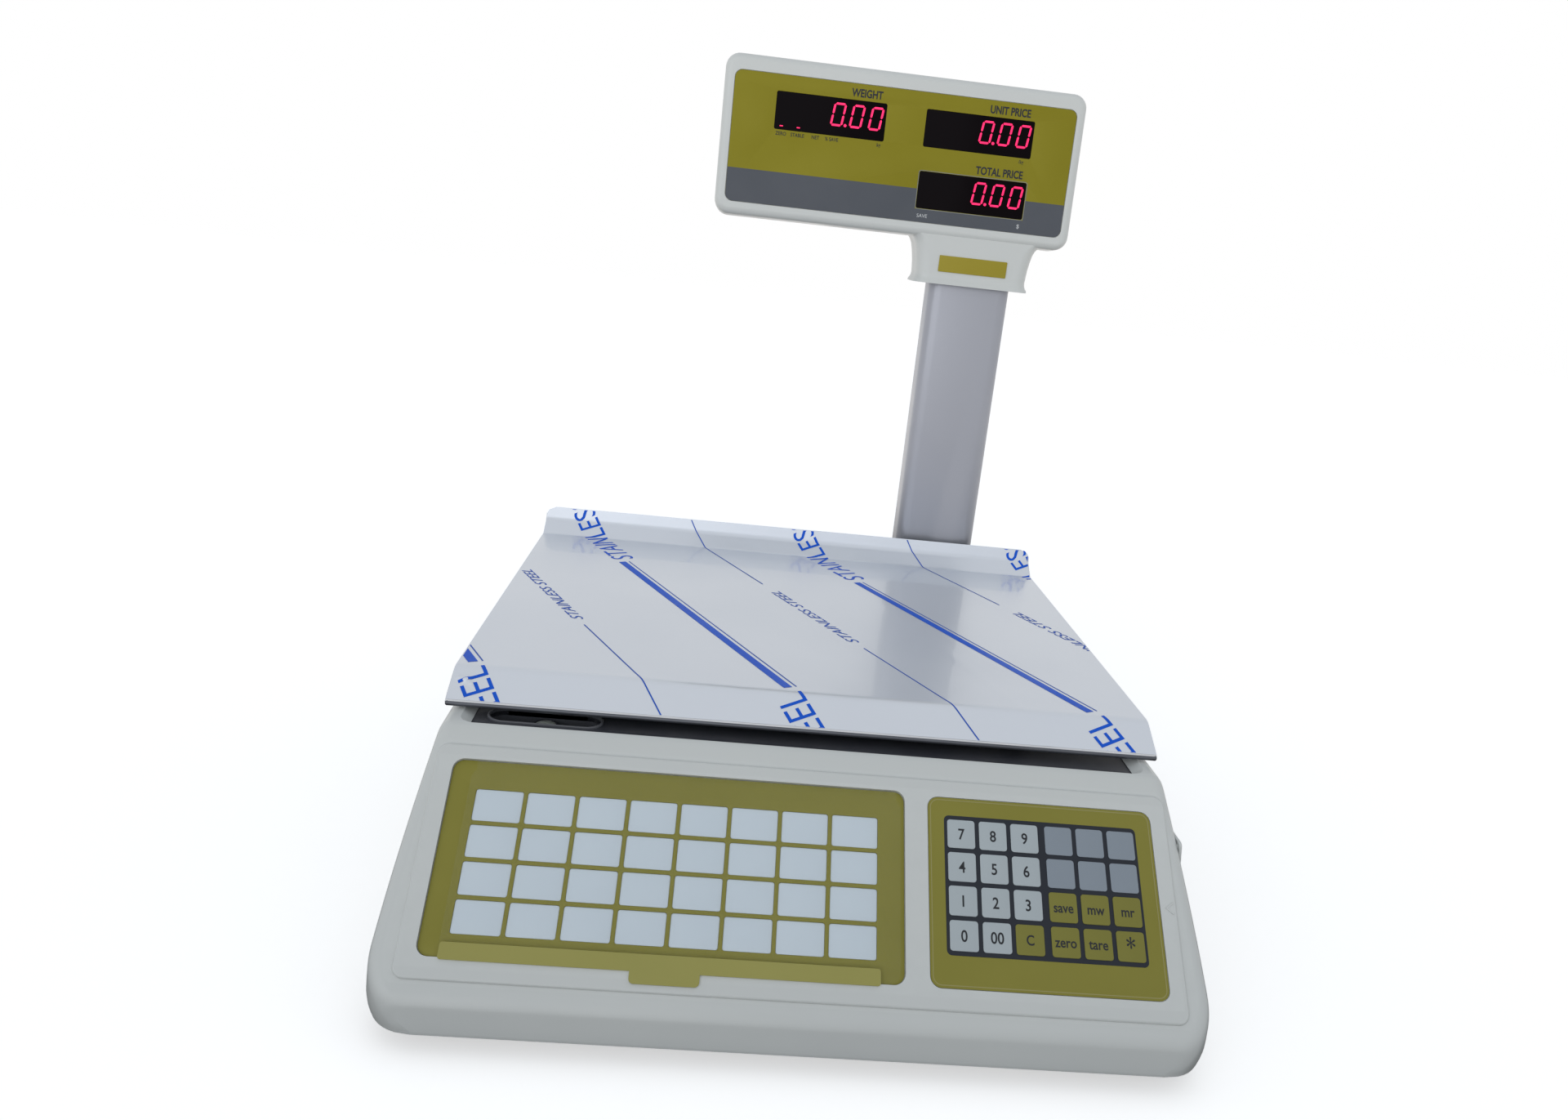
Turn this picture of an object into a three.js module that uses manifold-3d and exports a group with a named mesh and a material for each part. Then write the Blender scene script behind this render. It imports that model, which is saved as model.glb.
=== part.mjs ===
// Retail price scale with a column display: millimetres, +Z up, +Y towards the back.
// The parts are laid out with y = 0 at the front of the housing and z = 0 on the counter.
// The outermost group then moves them so that y = 0 is halfway between front and back.

import * as THREE from "three";
import { mergeVertices } from "three/addons/utils/BufferGeometryUtils.js";
import Module from "manifold-3d";

const wasm = await Module();
wasm.setup();

// ---------------------------------------------------------------- driving dimensions

const gap = 0.3; // clearance between pieces that touch

// housing
const bodyWidth = 350;
const bodyDepth = 378;
const bodyBottom = 9;
const bodyTop = 103.1;
const wall = 3;
const planCorner = 20;
const topFillet = 6;
const skirtLean = 2.5;
const skirtTop = 22.3;
const deckSlope = THREE.MathUtils.degToRad(43.77);
const rimOpening = { halfWidth: 158, front: 88.2, back: 366, corner: 7, lean: 4.5 };

// sloping deck, measured across (u) and up the slope (v) from the crease over the skirt
const raisedPanel = { u0: -163.5, u1: 163.5, v0: 8, v1: 106.8, height: 1.2, corner: 5 };
const presetRecess = { u0: -155.7, u1: 43.1, v0: 17, v1: 100.2, floor: -0.8, corner: 5 };
const presetGrid = { u0: -144.8, u1: 31.9, v0: 25.7, v1: 88.3, columns: 8, rows: 4, bar: 1.7 };
const priceRecess = { u0: 53.2, u1: 156, v0: 16.8, v1: 98.9, floor: 0.5, corner: 5 };
const priceGrid = { u0: 61.5, u1: 147.2, v0: 31.2, v1: 89.6, columns: 6, rows: 4, bar: 1.9 };
const foilThickness = 0.6;
const presetCoverPlate = { u0: -147, u1: 41, v0: 17.2, v1: 96.6, thickness: 0.8 };
const presetCoverStrip = { u0: -146.5, u1: 32.5, v0: 17.2, v1: 23.8 };
const presetCoverTab = { u0: -70.2, u1: -41.7, reach: 4.8 };
const presetHinge = { v: 98, normal: 1.4, radius: 1.2, endInset: 2 };

// platter
const platterTop = 116.65;
const platterSheet = 1;
const platterHalfWidth = 167.2;
const platterFlat = { front: 120.3, back: 373.4 };
const frontLip = { y: 101.2, z: 106.4, hem: 1.6 };
const backLip = { y: 378.7, z: 132.3, corner: 9 };
const sideFlange = 4;

// weighing works
const platformCentreY = 247;
const cover = { bottom: 96.8, top: 99.8, halfWidth: 158, front: 90.8, back: 367.5, corner: 8 };
const levelSlot = { x: -121.7, y: 105, length: 50.6, width: 14, rim: 1.2, depth: 7, floor: 1.5 };
const post = { x: 120, y: 85, radius: 5, holeRadius: 8 };
const frame = {
  bottom: 13, thickness: 7, halfWidth: 150, bar: 24, front: 22, back: 358,
  middleHalfDepth: 92, windowHalfWidth: 95, windowInner: 30, windowOuter: 78,
};
const cellLength = 130;
const cellWidth = 40;
const cellHeight = 22;
const cellHole = { radius: 8, x: 14, slot: 6 };
const spacerHeight = 5;
const spacerHalfLength = 16;
const spiderShape = { thickness: 6, hubHalfWidth: 62, hubHalfDepth: 34, armHalfWidth: 9, bossRadius: 12 };
const padHeight = 6;
const overloadGap = 1;
const overloadStopSize = { nut: 6.5, nutHeight: 5, bolt: 4, inwards: 0.8 };
const foot = { x: 140, front: 38, back: 342, radius: 16, padHeight: 8.6, stud: 4, studTop: 27 };

// column and its bracket
const columnX = 101.2;
const columnY = 401;
const column = { width: 54, depth: 30, corner: 8, wall: 2, bottom: 24, top: 329 };
const bracket = { wall: 4, bottom: 20, top: 92, flangeHalfWidth: 52, flange: 4 };
const bracketScrewSize = { edge: 7, inFromEnds: 10, hole: 2.8, shank: 2.3, headRadius: 4.6, headHeight: 2.6 };
const cableWay = { halfWidth: 8, bottom: 29, top: 45 };
const cableRadius = 2.5;

// display head
const head = {
  x: 44.1, width: 232.9, bottom: 335.6, height: 97.9, halfDepth: 19.3, corner: 9, edge: 5, wall: 2.5,
};
const headTilt = THREE.MathUtils.degToRad(3.07);
const label = { x: 0, z: 47.75, width: 220.6, height: 80.1, corner: 5, thickness: 0.8 };
const windowWidth = 70.5;
const windowHeight = 23.1;
const windowPlaces = {
  weight: { x: -47.65, z: 18.35 },
  unit_price: { x: 48.35, z: 18.35 },
  total_price: { x: 48.35, z: -19.65 },
};
const neck = { x: 100.6, width: 73.5, topWidth: 76.5, bottom: 306, depth: 36, corner: 8, flare: 1.8 };
const neckPlate = { x: 99.8, z: 319.2, width: 45.2, height: 10.4, thickness: 0.6 };

// electronics inside the base
const mainBoardBox = { x0: 40, x1: 140, y0: 24, y1: 74, z0: 27, z1: 28.6 };
const powerBoardBox = { x0: -150, x1: -62, y0: 324, y1: 366, z0: 29, z1: 30.6 };
const transformerCore = { x0: -58, x1: -14, y0: 322, y1: 362, z0: 21, z1: 51 };
const transformerCoil = { x0: -50, x1: -22, y0: 316, y1: 368, z0: 26, z1: 46 };
const batteryBay = { x0: -92, x1: -16, y0: 30, y1: 84 };
const batteryBlock = { x0: -90, x1: -20, y0: 38, y1: 82, z0: 13, z1: 38 };
const batteryTerminal = { x0: -84, x1: -78, y0: 42, y1: 48, z0: 37, z1: 40.5 };

// behind each face of the head: a filter, the LED modules and their board
const display = { halfWidth: 96, bottom: 14, top: 83, filter: 1.5, boardFront: 12.6, board: 1.2 };

// power switch on the right side wall, and the mains inlet at the back
const powerSwitch = { y: 73, z: 70, width: 14, height: 20, lean: THREE.MathUtils.degToRad(7) };
const inlet = { x: -110, z: 44, width: 27.5, height: 20, depth: 22 };

// finishes
const warmWhite = { color: 0xd9dbd6, roughness: 0.45, metalness: 0 };
const blackPlastic = { color: 0x1e2028, roughness: 0.5, metalness: 0 };
const stainless = { color: 0xcdd2d8, roughness: 0.3, metalness: 1 };
const castMetal = { color: 0x8d9094, roughness: 0.55, metalness: 0.9 };
const zincSteel = { color: 0xb4b6b8, roughness: 0.35, metalness: 1 };
const columnGrey = { color: 0x96949a, roughness: 0.4, metalness: 0.7 };
const rubberBlack = { color: 0x18181a, roughness: 0.85, metalness: 0 };
const oliveGold = { color: 0x8a8036, roughness: 0.4, metalness: 0.2 };
const clearPlastic = { color: 0xe8ecec, roughness: 0.1, metalness: 0, transparent: true, opacity: 0.3 };
const smokedPlastic = { color: 0x120a10, roughness: 0.12, metalness: 0 };
const boardGreen = { color: 0x1f5a35, roughness: 0.6, metalness: 0 };
const ledGrey = { color: 0x2a2224, roughness: 0.4, metalness: 0 };
const batteryGrey = { color: 0x3b3f46, roughness: 0.55, metalness: 0 };
const transformerSteel = { color: 0x6d6a64, roughness: 0.5, metalness: 0.8 };
const vialGreen = { color: 0xc8dc50, roughness: 0.15, metalness: 0 };
const cableGrey = { color: 0x9a9a9c, roughness: 0.6, metalness: 0 };

// ---------------------------------------------------------------- solids and booleans

function toSolid(geometry) {
  const bare = geometry.clone();
  bare.deleteAttribute("normal");
  bare.deleteAttribute("uv");
  const merged = mergeVertices(bare, 1e-4);
  return new wasm.Manifold(new wasm.Mesh({
    numProp: 3,
    vertProperties: new Float32Array(merged.attributes.position.array),
    triVerts: new Uint32Array(merged.index.array),
  }));
}

function toGeometry(solid) {
  const mesh = solid.getMesh();
  const geometry = new THREE.BufferGeometry();
  geometry.setAttribute("position", new THREE.BufferAttribute(new Float32Array(mesh.vertProperties), 3));
  geometry.setIndex(new THREE.BufferAttribute(new Uint32Array(mesh.triVerts), 1));
  geometry.computeVertexNormals();
  return geometry;
}

function join(first, ...others) {
  return toGeometry(others.reduce((sum, next) => sum.add(toSolid(next)), toSolid(first)));
}

function cut(blank, ...tools) {
  return toGeometry(tools.reduce((rest, tool) => rest.subtract(toSolid(tool)), toSolid(blank)));
}

function intersect(first, second) {
  return toGeometry(toSolid(first).intersect(toSolid(second)));
}

// ---------------------------------------------------------------- basic shapes

function box(x0, x1, y0, y1, z0, z1) {
  const geometry = new THREE.BoxGeometry(x1 - x0, y1 - y0, z1 - z0);
  return geometry.translate((x0 + x1) / 2, (y0 + y1) / 2, (z0 + z1) / 2);
}

function rod(x, y, z0, z1, radius, sides = 20) {
  const geometry = new THREE.CylinderGeometry(radius, radius, z1 - z0, sides);
  return geometry.rotateX(Math.PI / 2).translate(x, y, (z0 + z1) / 2);
}

function roundedOutline(x0, x1, y0, y1, radius) {
  const shape = new THREE.Shape();
  shape.moveTo(x0 + radius, y0);
  shape.lineTo(x1 - radius, y0);
  shape.absarc(x1 - radius, y0 + radius, radius, -Math.PI / 2, 0);
  shape.lineTo(x1, y1 - radius);
  shape.absarc(x1 - radius, y1 - radius, radius, 0, Math.PI / 2);
  shape.lineTo(x0 + radius, y1);
  shape.absarc(x0 + radius, y1 - radius, radius, Math.PI / 2, Math.PI);
  shape.lineTo(x0, y0 + radius);
  shape.absarc(x0 + radius, y0 + radius, radius, Math.PI, Math.PI * 1.5);
  return shape;
}

function extrudeUp(shape, z0, z1, curveSegments = 2) {
  const options = { depth: z1 - z0, bevelEnabled: false, curveSegments };
  return new THREE.ExtrudeGeometry(shape, options).translate(0, 0, z0);
}

// An outline in x and z, extruded along +Y from y0 to y1.
function extrudeBack(shape, y0, y1, curveSegments = 2) {
  return extrudeUp(shape, -y1, -y0, curveSegments).rotateX(Math.PI / 2);
}

function roundedBox(area, z0, z1, corner) {
  return extrudeUp(roundedOutline(area.u0, area.u1, area.v0, area.v1, corner), z0, z1);
}

// A closed skin through convex rings of equal length, with flat ends.
function loft(rings) {
  const count = rings[0].length;
  const positions = rings.flat().flatMap((point) => point.toArray());
  const index = [];
  for (let ring = 0; ring < rings.length - 1; ring++) {
    for (let i = 0; i < count; i++) {
      const a = ring * count + i;
      const b = ring * count + (i + 1) % count;
      index.push(a, b, b + count, a, b + count, a + count);
    }
  }
  const last = (rings.length - 1) * count;
  for (let i = 1; i < count - 1; i++) {
    index.push(0, i + 1, i, last, last + i, last + i + 1);
  }
  const geometry = new THREE.BufferGeometry();
  geometry.setAttribute("position", new THREE.Float32BufferAttribute(positions, 3));
  geometry.setIndex(index);
  return facingOut(geometry);
}

function facingOut(geometry) {
  const position = geometry.attributes.position;
  const index = geometry.index.array;
  const corners = [new THREE.Vector3(), new THREE.Vector3(), new THREE.Vector3()];
  let volume = 0;
  for (let i = 0; i < index.length; i += 3) {
    corners.forEach((corner, k) => corner.fromBufferAttribute(position, index[i + k]));
    volume += corners[0].dot(corners[1].clone().cross(corners[2]));
  }
  if (volume < 0) {
    for (let i = 0; i < index.length; i += 3) {
      const swap = index[i + 1];
      index[i + 1] = index[i + 2];
      index[i + 2] = swap;
    }
  }
  return geometry;
}

function part(name, geometry, finish) {
  const mesh = new THREE.Mesh(geometry, new THREE.MeshStandardMaterial(finish));
  mesh.name = name;
  return mesh;
}

// ---------------------------------------------------------------- housing skin

// Half the housing's width at height z: widest just above the bottom edge, leaning in above it.
function halfWidthAt(z) {
  const widestAt = 18;
  const low = Math.max(0, widestAt - z) / (widestAt - bodyBottom);
  const high = Math.max(0, z - widestAt) / (bodyTop - widestAt);
  return bodyWidth / 2 - 2 * low * low - 10 * high ** 1.5;
}

// How far the plan's rounded corners pull the side wall in at distance y from the front.
function cornerInset(y, depth) {
  const reach = Math.max(planCorner - y, planCorner - (depth - y), 0);
  return planCorner - Math.sqrt(planCorner ** 2 - reach ** 2);
}

// Side profile of the skin, offset inwards by inset, as points of (y, z) from front to back.
function sideProfile(inset) {
  const creaseY = skirtLean + inset;
  const creaseZ = skirtTop + inset * Math.tan(deckSlope) - inset / Math.cos(deckSlope);
  const top = bodyTop - inset;
  const shoulderY = creaseY + (top - creaseZ) / Math.tan(deckSlope);
  const back = bodyDepth - inset;
  const soft = 4;
  const along = (distance) => [
    creaseY + distance * Math.cos(deckSlope),
    creaseZ + distance * Math.sin(deckSlope),
  ];
  const path = new THREE.Path();
  path.moveTo(inset, bodyBottom + 1);
  path.lineTo(creaseY - 0.6, creaseZ - soft);
  path.quadraticCurveTo(creaseY, creaseZ, ...along(soft));
  path.lineTo(shoulderY - 2, top - 2 * Math.tan(deckSlope));
  path.quadraticCurveTo(shoulderY, top, shoulderY + 2.5, top);
  path.lineTo(back - topFillet, top);
  path.quadraticCurveTo(back, top, back, top - topFillet);
  path.lineTo(back, bodyBottom + 1);
  return path.getPoints(3);
}

// The profile with extra stations where the plan's corners curve and along the long stretches.
function stations(inset) {
  const profile = sideProfile(inset);
  const places = [];
  for (let i = 0; i < profile.length - 1; i++) {
    const from = profile[i];
    const to = profile[i + 1];
    const longest = from.x < planCorner ? 6 : 60;
    const steps = Math.max(1, Math.ceil(Math.abs(to.x - from.x) / longest));
    for (let step = 0; step < steps; step++) {
      places.push(from.clone().lerp(to, step / steps));
    }
  }
  places.push(profile[profile.length - 1]);
  return places;
}

// One slice across the housing at station place, from the bottom right corner round to the left.
function slice(place, inset, floor) {
  const pull = cornerInset(place.x, bodyDepth) + inset;
  const radius = Math.min(Math.max(topFillet - inset, 2), (place.y - floor) * 0.45);
  const shoulder = place.y - radius;
  const right = [];
  for (const share of [0, 0.12, 0.5, 1]) {
    const z = floor + (shoulder - floor) * share;
    right.push([halfWidthAt(Math.max(z, bodyBottom)) - pull, z]);
  }
  const edge = right[right.length - 1][0];
  for (const turn of [45, 90]) {
    const angle = THREE.MathUtils.degToRad(turn);
    right.push([edge - radius + radius * Math.cos(angle), shoulder + radius * Math.sin(angle)]);
  }
  const left = right.map(([x, z]) => [-x, z]).reverse();
  return [...right, ...left].map(([x, z]) => new THREE.Vector3(x, place.x, z));
}

function bodySkin(inset, floor) {
  return loft(stations(inset).map((place) => slice(place, inset, floor)));
}

// ---------------------------------------------------------------- deck

const deckMatrix = new THREE.Matrix4()
  .makeRotationX(deckSlope)
  .setPosition(0, skirtLean, skirtTop);

function onDeck(geometry) {
  return geometry.clone().applyMatrix4(deckMatrix);
}

function gridCells(grid, bottom, top) {
  const pitchU = (grid.u1 - grid.u0) / grid.columns;
  const pitchV = (grid.v1 - grid.v0) / grid.rows;
  const cells = [];
  for (let row = 0; row < grid.rows; row++) {
    for (let column = 0; column < grid.columns; column++) {
      const u = grid.u0 + column * pitchU + grid.bar / 2;
      const v = grid.v0 + row * pitchV + grid.bar / 2;
      cells.push(box(u, u + pitchU - grid.bar, v, v + pitchV - grid.bar, bottom, top));
    }
  }
  return cells;
}

function switchMatrix(outwards) {
  const x = halfWidthAt(powerSwitch.z) + outwards;
  return new THREE.Matrix4()
    .makeRotationY(-powerSwitch.lean)
    .setPosition(x, powerSwitch.y, powerSwitch.z);
}

// The opening in the top of the housing: its walls lean in towards the platform cover.
function openingTool() {
  const { halfWidth, front, back, corner, lean } = rimOpening;
  const ring = (inset, z) => roundedOutline(
    inset - halfWidth, halfWidth - inset, front + inset, back - inset, corner - inset,
  ).getPoints(3).slice(0, -1).map((point) => new THREE.Vector3(point.x, point.y, z));
  const levels = [[lean, bodyTop - 9], [lean, bodyTop - wall], [0, bodyTop], [0, bodyTop + 9]];
  return loft(levels.map(([inset, z]) => ring(inset, z)));
}

function upperHousing() {
  const panel = roundedBox(raisedPanel, -1, raisedPanel.height, raisedPanel.corner);
  const { width, height } = powerSwitch;
  const switchHole = box(-9, 9, -width / 2, width / 2, -height / 2, height / 2);
  const inletHole = box(
    inlet.x - inlet.width / 2 - gap, inlet.x + inlet.width / 2 + gap, bodyDepth - 9, bodyDepth + 9,
    inlet.z - inlet.height / 2 - gap, inlet.z + inlet.height / 2 + gap,
  );
  const cableHole = cableMouth(bodyDepth - 9, bodyDepth + 9);
  const screwHoles = bracketScrewPlaces().map(([x, z]) => screwHole(x, z));
  const shell = cut(bodySkin(0, bodyBottom), bodySkin(wall, bodyBottom - 5));
  return cut(
    join(shell, onDeck(panel)),
    onDeck(roundedBox(presetRecess, presetRecess.floor, 9, presetRecess.corner)),
    onDeck(roundedBox(priceRecess, priceRecess.floor, 9, priceRecess.corner)),
    openingTool(),
    switchHole.applyMatrix4(switchMatrix(0)),
    inletHole,
    cableHole,
    ...screwHoles,
  );
}

function presetKeypad() {
  const inside = inner(presetRecess, gap);
  const floor = presetRecess.floor + 0.1;
  const sheet = roundedBox(inside, floor, floor + foilThickness, presetRecess.corner - gap);
  const pockets = gridCells(presetGrid, floor + foilThickness - 0.2, floor + 2);
  return onDeck(cut(sheet, ...pockets));
}

function priceKeypad() {
  const floor = priceRecess.floor + 0.1;
  const sheet = roundedBox(inner(priceRecess, gap), floor, floor + foilThickness, priceRecess.corner - gap);
  const keys = gridCells(priceGrid, floor + 0.2, floor + foilThickness + 0.5);
  return onDeck(join(sheet, ...keys));
}

function inner(area, inset) {
  return { u0: area.u0 + inset, u1: area.u1 - inset, v0: area.v0 + inset, v1: area.v1 - inset };
}

// The clear flap: a thin plate with a thicker lower strip, a finger tab and a hinge bead on top.
function presetCover() {
  const lift = presetRecess.floor + foilThickness + 0.4;
  const top = lift + presetCoverPlate.thickness;
  const plate = roundedBox(presetCoverPlate, lift, top, presetRecess.corner);
  const strip = roundedBox(presetCoverStrip, lift + 0.1, top + 0.7, 1);
  const tabArea = { ...presetCoverTab, v0: presetCoverStrip.v0 - presetCoverTab.reach, v1: 22 };
  const tab = roundedBox(tabArea, raisedPanel.height + gap, raisedPanel.height + gap + 1, 1.5);
  const riser = box(tabArea.u0 + 0.5, tabArea.u1 - 0.5, 19, 22, lift + 0.2, raisedPanel.height + 0.8);
  const length = presetCoverPlate.u1 - presetCoverPlate.u0 - 2 * presetHinge.endInset;
  const bead = new THREE.CylinderGeometry(presetHinge.radius, presetHinge.radius, length, 10);
  bead.rotateZ(Math.PI / 2);
  bead.translate((presetCoverPlate.u0 + presetCoverPlate.u1) / 2, presetHinge.v, presetHinge.normal);
  const web = box(
    presetCoverPlate.u0 + 2, presetCoverPlate.u1 - 2, presetCoverPlate.v1 - 1, presetHinge.v, lift + 0.1, top,
  );
  return onDeck(join(plate, strip, riser, tab, web, bead));
}

// ---------------------------------------------------------------- base, feet, weighing works

function footPlaces() {
  return {
    front_left: [-foot.x, foot.front],
    front_right: [foot.x, foot.front],
    back_left: [-foot.x, foot.back],
    back_right: [foot.x, foot.back],
  };
}

function bottomPan() {
  const inset = wall + 4.5;
  const x = bodyWidth / 2 - inset;
  const floor = roundedOutline(-x, x, inset, bodyDepth - inset, planCorner - 5);
  const hollow = roundedOutline(-x + 2, x - 2, inset + 2, bodyDepth - inset - 2, planCorner - 7);
  const bay = batteryBay;
  const bayHole = box(bay.x0, bay.x1, bay.y0, bay.y1, bodyBottom - 5, bodyBottom + 9);
  const studHoles = Object.values(footPlaces())
    .map(([footX, footY]) => rod(footX, footY, 0, 30, foot.stud + 0.5));
  return cut(
    extrudeUp(floor, bodyBottom, bodyBottom + 9),
    extrudeUp(hollow, bodyBottom + 3, bodyBottom + 20),
    bayHole,
    ...studHoles,
  );
}

function batteryDoor() {
  const bay = batteryBay;
  const plate = box(bay.x0 + gap, bay.x1 - gap, bay.y0 + gap, bay.y1 - gap, bodyBottom, bodyBottom + 2);
  const grip = box(bay.x0 + 28, bay.x1 - 28, bay.y0 + 4, bay.y0 + 9, bodyBottom - 1, bodyBottom + 1);
  return cut(plate, grip);
}

function footPad([x, y]) {
  const { radius, padHeight: height, stud } = foot;
  const profile = [
    [0, 0], [radius - 2, 0], [radius, 1.5], [radius, 4], [radius - 4, height - 1.5],
    [stud + 3, height], [stud + gap, height], [stud + gap, 3], [0, 3],
  ].map(([r, z]) => new THREE.Vector2(r, z));
  return new THREE.LatheGeometry(profile, 16).rotateX(Math.PI / 2).translate(x, y, 0);
}

function footStud([x, y]) {
  return rod(x, y, 3 + gap, foot.studTop, foot.stud, 16);
}

// A cast frame: two long bars that hold the feet, joined by a wide middle that carries the cell.
function baseFrame() {
  const z1 = frame.bottom + frame.thickness;
  const y = platformCentreY;
  const { halfWidth, bar, middleHalfDepth, windowHalfWidth, windowInner, windowOuter } = frame;
  const sides = [-halfWidth, halfWidth - bar].map((x) => box(
    x, x + bar, frame.front, frame.back, frame.bottom, z1,
  ));
  const middle = box(-halfWidth + 4, halfWidth - 4, y - middleHalfDepth, y + middleHalfDepth, frame.bottom, z1);
  const windows = [
    box(-windowHalfWidth, windowHalfWidth, y - windowOuter, y - windowInner, 0, 40),
    box(-windowHalfWidth, windowHalfWidth, y + windowInner, y + windowOuter, 0, 40),
  ];
  const studHoles = Object.values(footPlaces())
    .map(([footX, footY]) => rod(footX, footY, 0, 40, foot.stud + 0.4));
  return cut(join(middle, ...sides), ...windows, ...studHoles);
}

const cellBottom = frame.bottom + frame.thickness + gap + spacerHeight + gap;
const cellTop = cellBottom + cellHeight;
const spiderBottom = cellTop + gap + spacerHeight + gap;

// A single-point cell: an aluminium bar with a binocular hole through its middle.
function loadCell() {
  const half = cellLength / 2;
  const bar = box(-half, half, platformCentreY - cellWidth / 2, platformCentreY + cellWidth / 2,
    cellBottom, cellTop);
  const middleZ = (cellBottom + cellTop) / 2;
  const across = (x) => rod(0, 0, -cellWidth, cellWidth, cellHole.radius, 16)
    .rotateX(Math.PI / 2).translate(x, platformCentreY, middleZ);
  const slot = box(-cellHole.x, cellHole.x, platformCentreY - cellWidth, platformCentreY + cellWidth,
    middleZ - cellHole.slot / 2, middleZ + cellHole.slot / 2);
  return cut(bar, across(-cellHole.x), across(cellHole.x), slot);
}

function cellSpacer(side, bottom) {
  const x = side * (cellLength / 2 - spacerHalfLength);
  const y = platformCentreY;
  return box(x - spacerHalfLength, x + spacerHalfLength, y - cellWidth / 2, y + cellWidth / 2,
    bottom, bottom + spacerHeight);
}

function postPlaces() {
  return {
    front_left: [-post.x, platformCentreY - post.y],
    front_right: [post.x, platformCentreY - post.y],
    back_left: [-post.x, platformCentreY + post.y],
    back_right: [post.x, platformCentreY + post.y],
  };
}

const padTop = platterTop - platterSheet - gap;

// The spider: a hub plate over the cell, four arms, and a post at the end of each.
function spider() {
  const { thickness, hubHalfWidth, hubHalfDepth, armHalfWidth, bossRadius } = spiderShape;
  const top = spiderBottom + thickness;
  const hub = box(-hubHalfWidth, hubHalfWidth, platformCentreY - hubHalfDepth, platformCentreY + hubHalfDepth,
    spiderBottom, top);
  const pieces = Object.values(postPlaces()).flatMap(([x, y]) => {
    const length = Math.hypot(x, y - platformCentreY);
    const angle = Math.atan2(y - platformCentreY, x);
    const arm = box(20, length, -armHalfWidth, armHalfWidth, spiderBottom, top);
    arm.rotateZ(angle).translate(0, platformCentreY, 0);
    const boss = rod(x, y, spiderBottom, top, bossRadius, 12);
    return [arm, boss, rod(x, y, spiderBottom, padTop - 2, post.radius, 12)];
  });
  return join(hub, ...pieces);
}

// A rubber cap pushed over the top of a post.
function spiderPad([x, y]) {
  const outer = post.radius + 2;
  const profile = [
    [0, padTop], [outer - 1, padTop], [outer, padTop - 1], [outer, padTop - padHeight],
    [post.radius + 0.2, padTop - padHeight], [post.radius + 0.2, padTop - 1.7], [0, padTop - 1.7],
  ].map(([r, z]) => new THREE.Vector2(r, z)).reverse();
  return new THREE.LatheGeometry(profile, 12).rotateX(Math.PI / 2).translate(x, y, 0);
}

function overloadStop([x, y]) {
  const { nut, nutHeight, bolt, inwards } = overloadStopSize;
  const stopX = x * inwards;
  const stopY = platformCentreY + (y - platformCentreY) * inwards;
  const bottom = frame.bottom + frame.thickness + gap;
  return join(
    rod(stopX, stopY, bottom, bottom + nutHeight, nut, 6),
    rod(stopX, stopY, bottom + nutHeight - 1, spiderBottom - overloadGap, bolt, 14),
  );
}

function platformCover() {
  const plate = extrudeUp(
    roundedOutline(-cover.halfWidth, cover.halfWidth, cover.front, cover.back, cover.corner),
    cover.bottom, cover.top,
  );
  const slot = levelSlot;
  const oval = (grow) => roundedOutline(
    slot.x - slot.length / 2 - grow, slot.x + slot.length / 2 + grow,
    slot.y - slot.width / 2 - grow, slot.y + slot.width / 2 + grow, slot.width / 2 + grow - 0.01,
  );
  const rim = extrudeUp(oval(slot.rim), cover.bottom - slot.depth, cover.top + 1, 3);
  const well = extrudeUp(oval(0), cover.bottom - slot.depth + slot.floor, cover.top + 9, 3);
  const holes = Object.values(postPlaces())
    .map(([x, y]) => rod(x, y, cover.bottom - 9, cover.top + 9, post.holeRadius, 16));
  return cut(join(plate, rim), well, ...holes);
}

// A round bull's-eye level standing in the slot of the cover.
function levelVial() {
  const bottom = cover.bottom - levelSlot.depth + levelSlot.floor + gap;
  const profile = [[0, 0], [6, 0], [6, 5.5], [5, 6.5], [0, 6.5]]
    .map(([r, z]) => new THREE.Vector2(r, z));
  return new THREE.LatheGeometry(profile, 16).rotateX(Math.PI / 2)
    .translate(levelSlot.x, levelSlot.y, bottom);
}

// The platter's cross-section: a hem, the sloping front lip, the flat, and the turned-up back lip.
function platterProfile() {
  const t = platterSheet;
  const flat = platterFlat;
  const inTop = platterTop - t;
  const shape = new THREE.Shape();
  shape.moveTo(frontLip.y, frontLip.z);
  shape.lineTo(flat.front - 6, platterTop - 2.8);
  shape.quadraticCurveTo(flat.front, platterTop, flat.front + 7, platterTop);
  shape.lineTo(flat.back - 7, platterTop);
  shape.quadraticCurveTo(flat.back, platterTop, flat.back + 2, platterTop + 6);
  shape.lineTo(backLip.y, backLip.z);
  shape.lineTo(backLip.y + t, backLip.z - 0.3);
  shape.lineTo(flat.back + 3, platterTop + 5.6);
  shape.quadraticCurveTo(flat.back + 1, inTop, flat.back - 7, inTop);
  shape.lineTo(flat.front + 7, inTop);
  shape.quadraticCurveTo(flat.front + 0.3, inTop, flat.front - 5.6, inTop - 2.7);
  shape.lineTo(frontLip.y + 1.1, frontLip.z - 0.9);
  shape.lineTo(frontLip.y + 1.1, frontLip.z - frontLip.hem);
  shape.lineTo(frontLip.y, frontLip.z - frontLip.hem);
  return shape;
}

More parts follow.
